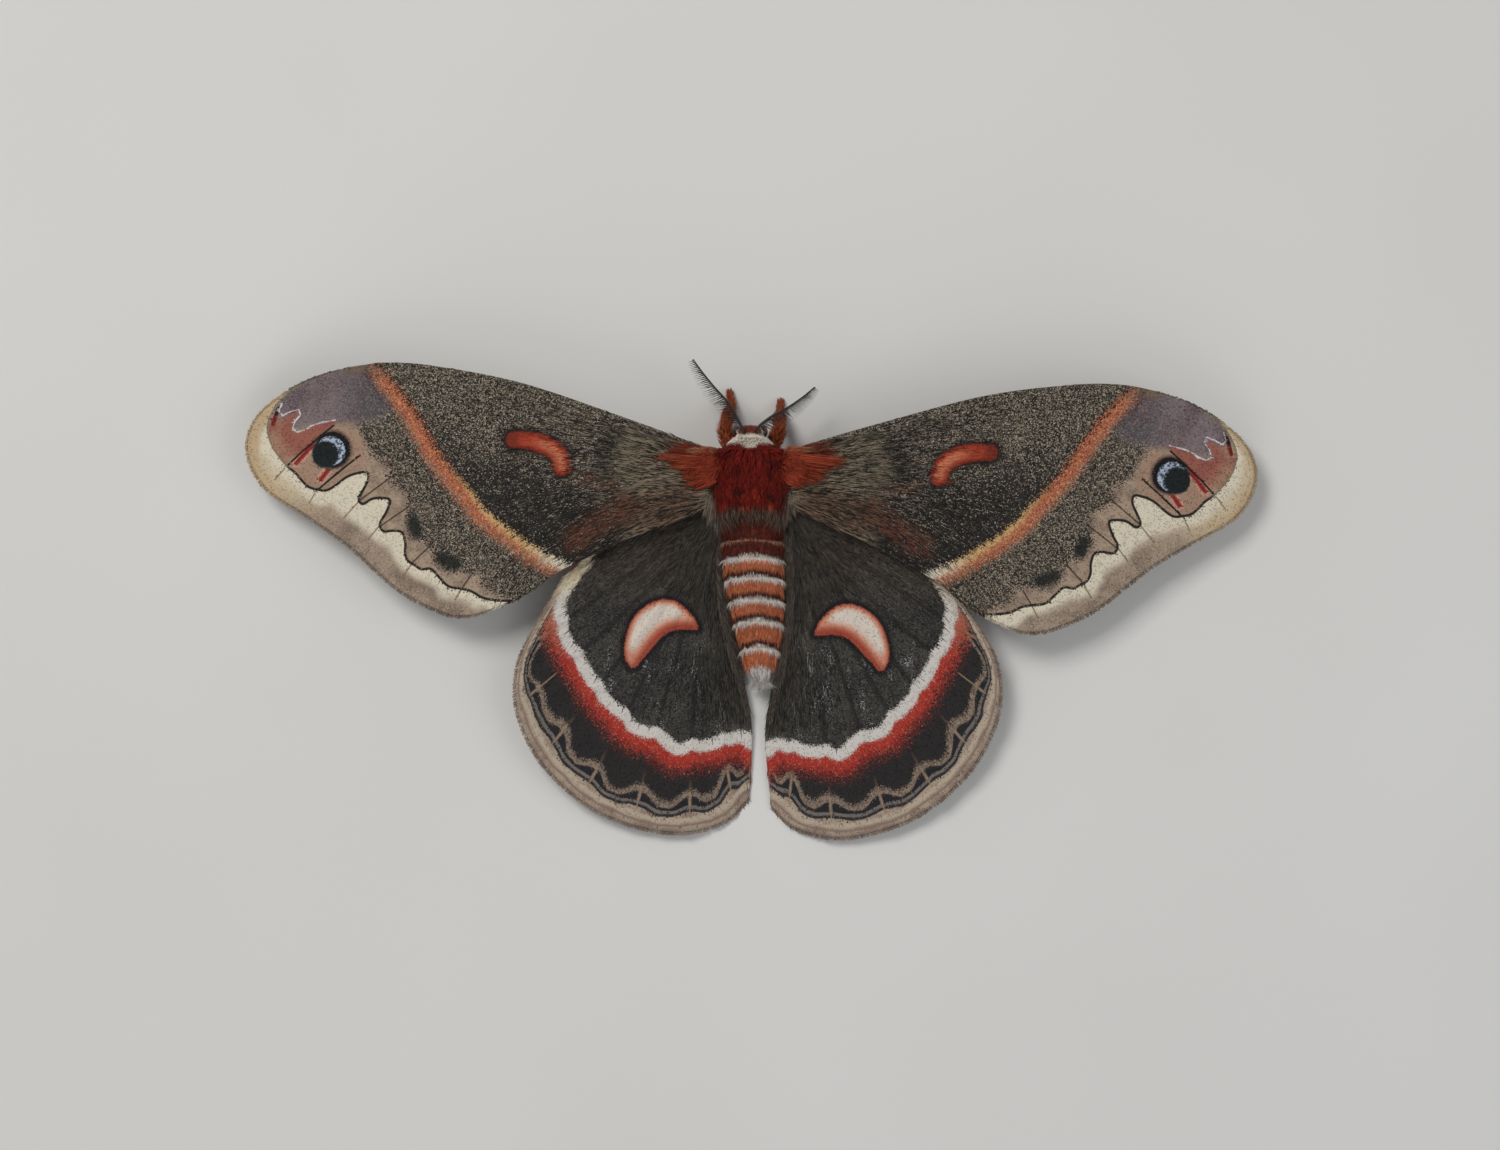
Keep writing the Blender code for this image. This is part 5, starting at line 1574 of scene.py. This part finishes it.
rust_fur = warm_fur_finish("rust_fur", shade(122, 48, 24), shade(172, 84, 44), shade(198, 114, 68))
rust_skin = bare_finish("rust_skin", shade(108, 42, 22), shade(136, 60, 32))
eye_centres = np.array([on_side(sign, EYE_PLACE) for sign in SIDES.values()])
HEAD_HAIRS = 3400
roots = clumped(body_roots(23.4, 25.05, HEAD_HAIRS), 120, 0.3)
gap = np.min(np.linalg.norm(roots["place"][:, None, :] - eye_centres[None], axis=2), axis=1)
kept = gap > EYE_RADIUS + 0.3
marks = {name: values[kept] for name, values in roots.pop("marks").items()}
roots = {**{key: values[kept] for key, values in roots.items()}, "marks": marks}
roots["along"] = -roots["along"]
length = 0.55 * spread(0.7, 1.2, kept.sum())
add_coat("head_fur", "head_fur", body_fur, roots, SHORT_TUFT, length, 0.12, 62.0, 20.0)

# %% Palps
PALP_ROUTE = ((0.6, 24.4, 6.0), (0.72, 24.95, 5.0), (0.66, 25.0, 4.1))
PALP_RADII = ((0.0, 0.22), (0.25, 0.32), (0.7, 0.3), (1.0, 0.1))
PALP_HAIRS = 700
palp_roots = []
for side, sign in SIDES.items():
    route = on_side(sign, PALP_ROUTE)
    tube_piece(f"palp_{side}", "head_fur", rust_skin, route, PALP_RADII)
    palp_roots.append(route_roots(route, PALP_RADII, PALP_HAIRS, 0.0 if sign < 0 else 0.5))
length = spread(0.35, 0.6, 2 * PALP_HAIRS)
add_coat("palp_fur", "head_fur", rust_fur, joined(palp_roots), SHORT_TUFT, length, 0.1, 30.0, 5.0)

# %% [markdown]
# ## Antennae
# A male's antennae are feathers: each joint of the shaft carries two pairs of branches, and fine hairs
# stand along every branch. We make the shaft as a tapered tube and hang the branches from it in three
# rows, closer together than in the solids.

# %% Antennae
ANTENNA_ROUTE = {
    "left": (
        (0.85, 24.2, 8.9), (1.0, 24.6, 10.15), (1.5, 25.6, 10.7), (2.9, 28.2, 11.0), (5.0, 30.6, 10.7),
        (6.6, 32.6, 10.1), (8.2, 34.8, 9.2),
    ),
    "right": (
        (0.85, 24.2, 8.9), (1.0, 24.6, 10.15), (1.5, 25.3, 10.7), (3.2, 26.6, 11.0), (5.4, 27.8, 10.7),
        (7.4, 29.2, 10.1), (9.3, 30.8, 9.2),
    ),
}
SHAFT_RADII = ((0.0, 0.3), (0.1, 0.26), (0.16, 0.2), (0.55, 0.14), (1.0, 0.05))
RAMI = 38
RAMUS_SWEEP = 0.5
RAMUS_BOW = math.radians(-4.5)
# Each row of branches: how far it drops below level, its length, its width and its hairs.
RAMI_ROWS = ((20.0, 1.5, 0.19, 0), (34.0, 2.6, 0.12, 20), (82.0, 2.6, 0.12, 12))


def antenna_finish():
    f = Finish("antenna", Roughness=0.5)
    f.colour(f.mix(shade(22, 17, 15), shade(44, 33, 27), f.noise(1800.0)))
    return f.material


antenna_dark = antenna_finish()
antenna_hair = warm_fur_finish("antenna_hair", shade(40, 34, 31), shade(70, 62, 57), shade(92, 84, 77))


def branch_roots(route, sign, row, drop):
    """Roots of one row of branches along the shaft, and how long each is beside the longest."""
    shares = 0.18 + 0.8 * np.linspace(0.0, 1.0, RAMI)
    centre, along, _, _ = route_frame(route, shares)
    away = unit(np.column_stack([along[:, 1], -along[:, 0], np.zeros(RAMI)])) * sign
    angle = np.radians(drop + spread(-3.0, 3.0, RAMI))[:, None]
    heading = away * np.cos(angle) - np.array((0.0, 0.0, 1.0)) * np.sin(angle) + along * RAMUS_SWEEP
    heading = unit(heading)
    outward = unit(np.cross(heading, np.cross(along, heading)))
    uv = np.column_stack([shares * 0.9 + 0.02, np.full(RAMI, 0.1 + row * 0.3)])
    relative = (0.32 + 0.68 * np.sin(np.pi * shares ** 0.8) ** 0.7) * spread(0.93, 1.04, RAMI)
    return {"place": centre, "outward": outward, "along": heading, "marks": {}, "uv": uv}, relative


def branch_hairs(roots, lengths, number):
    """Roots of the fine hairs that stand on both sides of each branch."""
    count = len(lengths)
    way = np.tile(np.linspace(0.08, 0.96, number), count)
    parent = np.repeat(np.arange(count), number)
    flip = np.tile(np.where(np.arange(number) % 2, 1.0, -1.0), count)[:, None]
    sideways = unit(np.cross(roots["outward"], roots["along"]))[parent]
    outward, along = roots["outward"][parent], roots["along"][parent]
    reach = (way * lengths[parent])[:, None]
    place = roots["place"][parent] + along * reach + outward * reach * math.sin(RAMUS_BOW)
    heading = sideways * flip + along * 0.5
    return {"place": place, "outward": outward, "along": heading, "marks": {}, "uv": roots["uv"][parent]}


def antenna(side):
    """The shaft, its branches and the branches' hairs."""
    sign = SIDES[side]
    route = on_side(sign, ANTENNA_ROUTE[side])
    node = f"antenna_{side}"
    tube_piece(f"antenna_shaft_{side}", "antenna", antenna_dark, route, SHAFT_RADII, (node,), 10, 70)
    for row, (drop, longest, width, hairs) in enumerate(RAMI_ROWS):
        roots, relative = branch_roots(route, sign, row, drop)
        lengths = relative * longest
        name = f"antenna_row{row}_{side}"
        add_coat(
            name, "antenna", antenna_dark, roots, LONG_TUFT, lengths, width, 0.0, -9.0,
            thick=1.0, curl=0.03, sink=0.0,
        )
        if hairs:
            fine = branch_hairs(roots, lengths, hairs)
            length = spread(0.2, 0.32, len(fine["place"]))
            add_coat(
                f"{name}_hairs", "antenna", antenna_hair, fine, SPINE, length, 0.035, 0.0, 0.0,
                thick=1.0, sink=0.0,
            )


for side in SIDES:
    antenna(side)

# %% [markdown]
# ## Wing bases
# A pad of dark red hair covers the root of each forewing. Orange hair fans out from it over the wing in
# pointed locks, and longer grey-brown hair runs back over the hindwing's base and closes the gap
# between the hindwing and the abdomen.

# %% Hair combed over the wings
def combed(pair, side, starts, tips, base, lift, fold, drop=0.0):
    """Roots of hair that lies from one place above a wing to another, and the hair's lengths."""
    sign, height = SIDES[side], WINGS[pair][4]
    count = len(starts)
    tier = spread(0.1, 1.0, count)

    def above(flat, stand):
        up = height(*flat.T) + stand
        return on_side(sign, np.column_stack([held(pair, side, flat), up]))

    place = above(starts, base + lift * tier)
    along = above(tips, 0.25 - drop + fold * tier) - place
    outward = (0.0, 0.0, 1.0) + spread(-0.1, 0.1, (count, 3))
    outward = unit(np.cross(along, np.cross(outward, along)))
    map_start = 0.5 if sign > 0 else 0.02
    uv = np.column_stack([starts[:, 0] / 12.0 * 0.45 + map_start, (starts[:, 1] + 34.0) / 60.0])
    roots = {"place": place, "outward": outward, "along": along, "marks": {}, "uv": uv}
    return roots, np.linalg.norm(along, axis=1)


LOCK_HALF = 0.42


def locks_of_hair(starts, tips, number, count):
    """Starts and tips of hair in pointed locks that fan from one line of points to another."""
    place = (np.arange(number) + spread(0.1, 0.9, number)) / number
    root = through(starts, place) + spread(-0.35, 0.35, (number, 2))
    point = through(tips, place)
    point = root + (point - root) * spread(0.72, 1.06, number)[:, None] + spread(-0.3, 0.3, (number, 2))
    half = LOCK_HALF * spread(0.6, 1.3, number)
    chosen = random.integers(0, number, count)
    way = unit(point - root)
    sideways = np.column_stack([-way[:, 1], way[:, 0]])
    across = spread(-1.0, 1.0, count) * half[chosen]
    first = root[chosen] + sideways[chosen] * across[:, None] + way[chosen] * spread(0.0, 1.6, count)[:, None]
    reach = spread(0.35, 1.05, count)[:, None]
    last = root[chosen] + (point - root)[chosen] * reach
    last += sideways[chosen] * across[:, None] * (1.0 - 0.75 * reach) + spread(-0.12, 0.12, (count, 2))
    return first, last


# %% Wing base hair
TEGULA_PAD = (1.9, 1.8, 0.5)
TEGULA_PLACE = (6.2, 19.3, 10.8)
PAD_HAIRS = 900
# Each fan of hair: its roots' line, its tips' line, its locks, its hairs, its height over the
# wing, how far the height varies and how far its tips drop.
FLAME_FAN = (
    ((5.3, 20.8), (5.5, 19.2), (5.1, 17.3)),
    ((14.9, 20.6), (13.8, 20.0), (12.2, 19.1), (10.8, 17.9), (9.6, 16.6), (7.6, 15.9)),
    17, 2700, 1.3, 0.9, 0.0,
)
COSTA_FAN = (((4.8, 21.6), (5.3, 21.1)), ((8.6, 22.5), (10.6, 21.7)), 4, 420, 0.3, 0.5, 0.0)
SHOULDER_FAN = (
    ((4.3, 15.4), (5.3, 15.6), (6.4, 15.3)), ((4.1, 9.3), (5.0, 10.0), (6.2, 11.3), (8.0, 13.0)),
    14, 1000, 0.1, 0.6, 1.0,
)
shoulder_fur = warm_fur_finish("shoulder_fur", shade(112, 30, 16), shade(168, 62, 34), shade(186, 96, 64))
flame_fur = warm_fur_finish("flame_fur", shade(134, 46, 24), shade(182, 76, 44), shade(202, 112, 76))
costa_fur = warm_fur_finish("costa_fur", shade(140, 78, 52), shade(180, 118, 84), shade(204, 156, 122))
grey_fur = warm_fur_finish("grey_fur", shade(80, 70, 60), shade(138, 124, 108), shade(182, 168, 150))

for side, sign in SIDES.items():
    centre = on_side(sign, TEGULA_PLACE)
    ball(f"wing_base_pad_{side}", "wing_base_fur", rust_skin, f"tegula_{side}", 4, TEGULA_PAD, centre)
    away = unit(random.normal(0.0, 1.0, (PAD_HAIRS, 3)))
    away[:, 2] = np.abs(away[:, 2]) - 0.15
    away = unit(away)
    lie = np.tile((sign, -0.5, 0.0), (PAD_HAIRS, 1)) + spread(-0.5, 0.5, (PAD_HAIRS, 3))
    uv = away[:, :2] * (sign * 0.2, 0.2) + (0.5 + sign * 0.25, 0.5)
    place, outward = centre + away * TEGULA_PAD, unit(away / TEGULA_PAD)
    roots = {"place": place, "outward": outward, "along": lie, "marks": {}, "uv": uv}
    length = spread(0.9, 2.2, PAD_HAIRS)
    add_coat(
        f"wing_base_fur_{side}", "wing_base_fur", shoulder_fur, roots, SHORT_TUFT, length, 0.15, 34.0, -4.0,
        curl=0.3,
    )
    for name, finish, fan in (
        ("wing_base_hair", flame_fur, FLAME_FAN), ("costa_hair", costa_fur, COSTA_FAN),
        ("shoulder_hair", grey_fur, SHOULDER_FAN),
    ):
        starts, tips, number, count, base, lift, drop = fan
        first, last = locks_of_hair(starts, tips, number, count)
        roots, reach = combed("fore", side, first, last, base, lift, 0.35, drop)
        add_coat(
            f"{name}_{side}", "wing_base_fur", finish, roots, LONG_TUFT, reach, 0.14, 4.0, -4.0,
            thick=0.35, curl=0.07,
        )

# %% Hair of the hindwings' inner edges
INNER_HAIRS = 1700
INNER_REACH = {"left": 1.7, "right": 0.7}
inner_fur = warm_fur_finish("inner_fur", shade(70, 61, 54), shade(106, 94, 84), shade(138, 126, 116))
for side in SIDES:
    share = spread(0.02, 0.7, INNER_HAIRS)
    starts = through(HIND_INNER, share)
    starts[:, 0] += spread(0.0, 0.9, INNER_HAIRS)
    beside = np.clip((starts[:, 1] + 13.0) / 4.0, 0.15, 1.0)
    inward = INNER_REACH[side] * beside * spread(0.3, 1.1, INNER_HAIRS)
    back = (0.7 + 2.2 * beside) * spread(0.7, 1.1, INNER_HAIRS)
    tips = starts - np.column_stack([inward, back])
    roots, reach = combed("hind", side, starts, tips, 0.05, 0.25, 0.5)
    name = f"hindwing_inner_hair_{side}"
    add_coat(name, "hindwing", inner_fur, roots, SHORT_TUFT, reach, 0.15, 6.0, -4.0, 0.35)

# %% [markdown]
# ## Legs
# Six furry legs stand under the wings. Each is a jointed tube with a hairy coat, and its foot ends in
# two small claws.

# %% Legs
LEGS = {
    ("front", "left"): ((2.7, 21.2, 4.3), (3.7, 24.9, 5.0), (2.7, 28.4, 1.7), (3.0, 30.6, 0.34)),
    ("front", "right"): ((2.7, 21.2, 4.3), (4.2, 24.6, 5.0), (4.3, 27.1, 1.7), (4.5, 29.2, 0.34)),
    ("middle", "left"): ((3.4, 17.8, 4.2), (7.6, 18.8, 5.6), (10.6, 17.9, 1.6), (13.2, 17.2, 0.34)),
    ("middle", "right"): ((3.4, 17.8, 4.2), (7.6, 18.6, 5.6), (10.6, 17.3, 1.6), (13.2, 16.4, 0.34)),
    ("hind", "left"): ((3.2, 14.6, 4.3), (7.0, 10.8, 4.9), (8.8, 5.0, 1.5), (9.6, 1.6, 0.34)),
    ("hind", "right"): ((3.2, 14.6, 4.3), (7.0, 10.6, 4.9), (9.0, 4.6, 1.5), (10.0, 1.2, 0.34)),
}
LEG_RADII = (
    (0.0, 0.5), (0.15, 0.75), (0.33, 0.62), (0.38, 0.42), (0.46, 0.56), (0.62, 0.52), (0.69, 0.36),
    (0.73, 0.3), (0.77, 0.33), (0.8, 0.28), (0.85, 0.31), (0.88, 0.27), (0.93, 0.29), (1.0, 0.18),
)
LEG_HAIRS = 1750
LEG_STRIP = 0.16
JOINT_BEND = 0.12
# Points of a claw: ahead of the toe's end, to the side, and up from the floor.
CLAW_BEND = ((-0.1, 0.0, 0.25), (0.3, 0.16, 0.26), (0.5, 0.2, 0.08))
CLAW_RADII = ((0.0, 0.07), (0.6, 0.05), (1.0, 0.012))
claw_finish = bare_finish("claw", shade(36, 22, 16), shade(60, 36, 24))


def leg_route(pair, side):
    """A leg's middle line, with its knee and ankle kept tight."""
    joints = on_side(SIDES[side], LEGS[(pair, side)])
    route = [joints[0]]
    for before, joint, after in zip(joints, joints[1:], joints[2:]):
        route += [joint + (before - joint) * JOINT_BEND, joint + (after - joint) * JOINT_BEND]
    return np.array([*route, joints[-1]])


leg_roots = []
for number, (pair, side) in enumerate(LEGS):
    route = leg_route(pair, side)
    nodes = [f"leg_{pair}_{side}_{part}" for part in ("femur", "tibia", "tarsus")]
    tube_piece(f"leg_{pair}_{side}", "leg_fur", rust_skin, route, LEG_RADII, nodes, 14, 60)
    leg_roots.append(route_roots(route, LEG_RADII, LEG_HAIRS, number * LEG_STRIP))
    toe, heading = route[-1], unit(route[-1] - route[-2])
    for turn in (-1.0, 1.0):
        sideways = np.cross(heading, (0.0, 0.0, 1.0)) * turn
        hook = [toe + heading * ahead + sideways * aside for ahead, aside, _ in CLAW_BEND]
        hook = [(*point[:2], up) for point, (_, _, up) in zip(hook, CLAW_BEND)]
        name = f"claw_{pair}_{side}_{'inner' if turn < 0 else 'outer'}"
        tube_piece(name, "leg_fur", claw_finish, hook, CLAW_RADII, (), 8, 8)
roots = joined(leg_roots)
shares = roots["marks"]["share"]
length = np.interp(shares, (0.0, 0.15, 0.6, 0.75, 1.0), (1.1, 1.4, 1.25, 1.0, 0.7))
length = length * spread(0.7, 1.2, len(shares))
floor_room = np.clip((roots["place"][:, 2] + roots["outward"][:, 2] * 0.3) / 0.6, 0.1, 1.0)
add_coat("leg_fur", "leg_fur", rust_fur, roots, SHORT_TUFT, length * floor_room, 0.15, 48.0, 8.0, curl=0.2)

# %% [markdown]
# ## Coat size
# The lesson ends by printing how many triangles the coat has.

# %% Print the coat's triangles
print("triangles of the coat:", sum(coat_triangles))
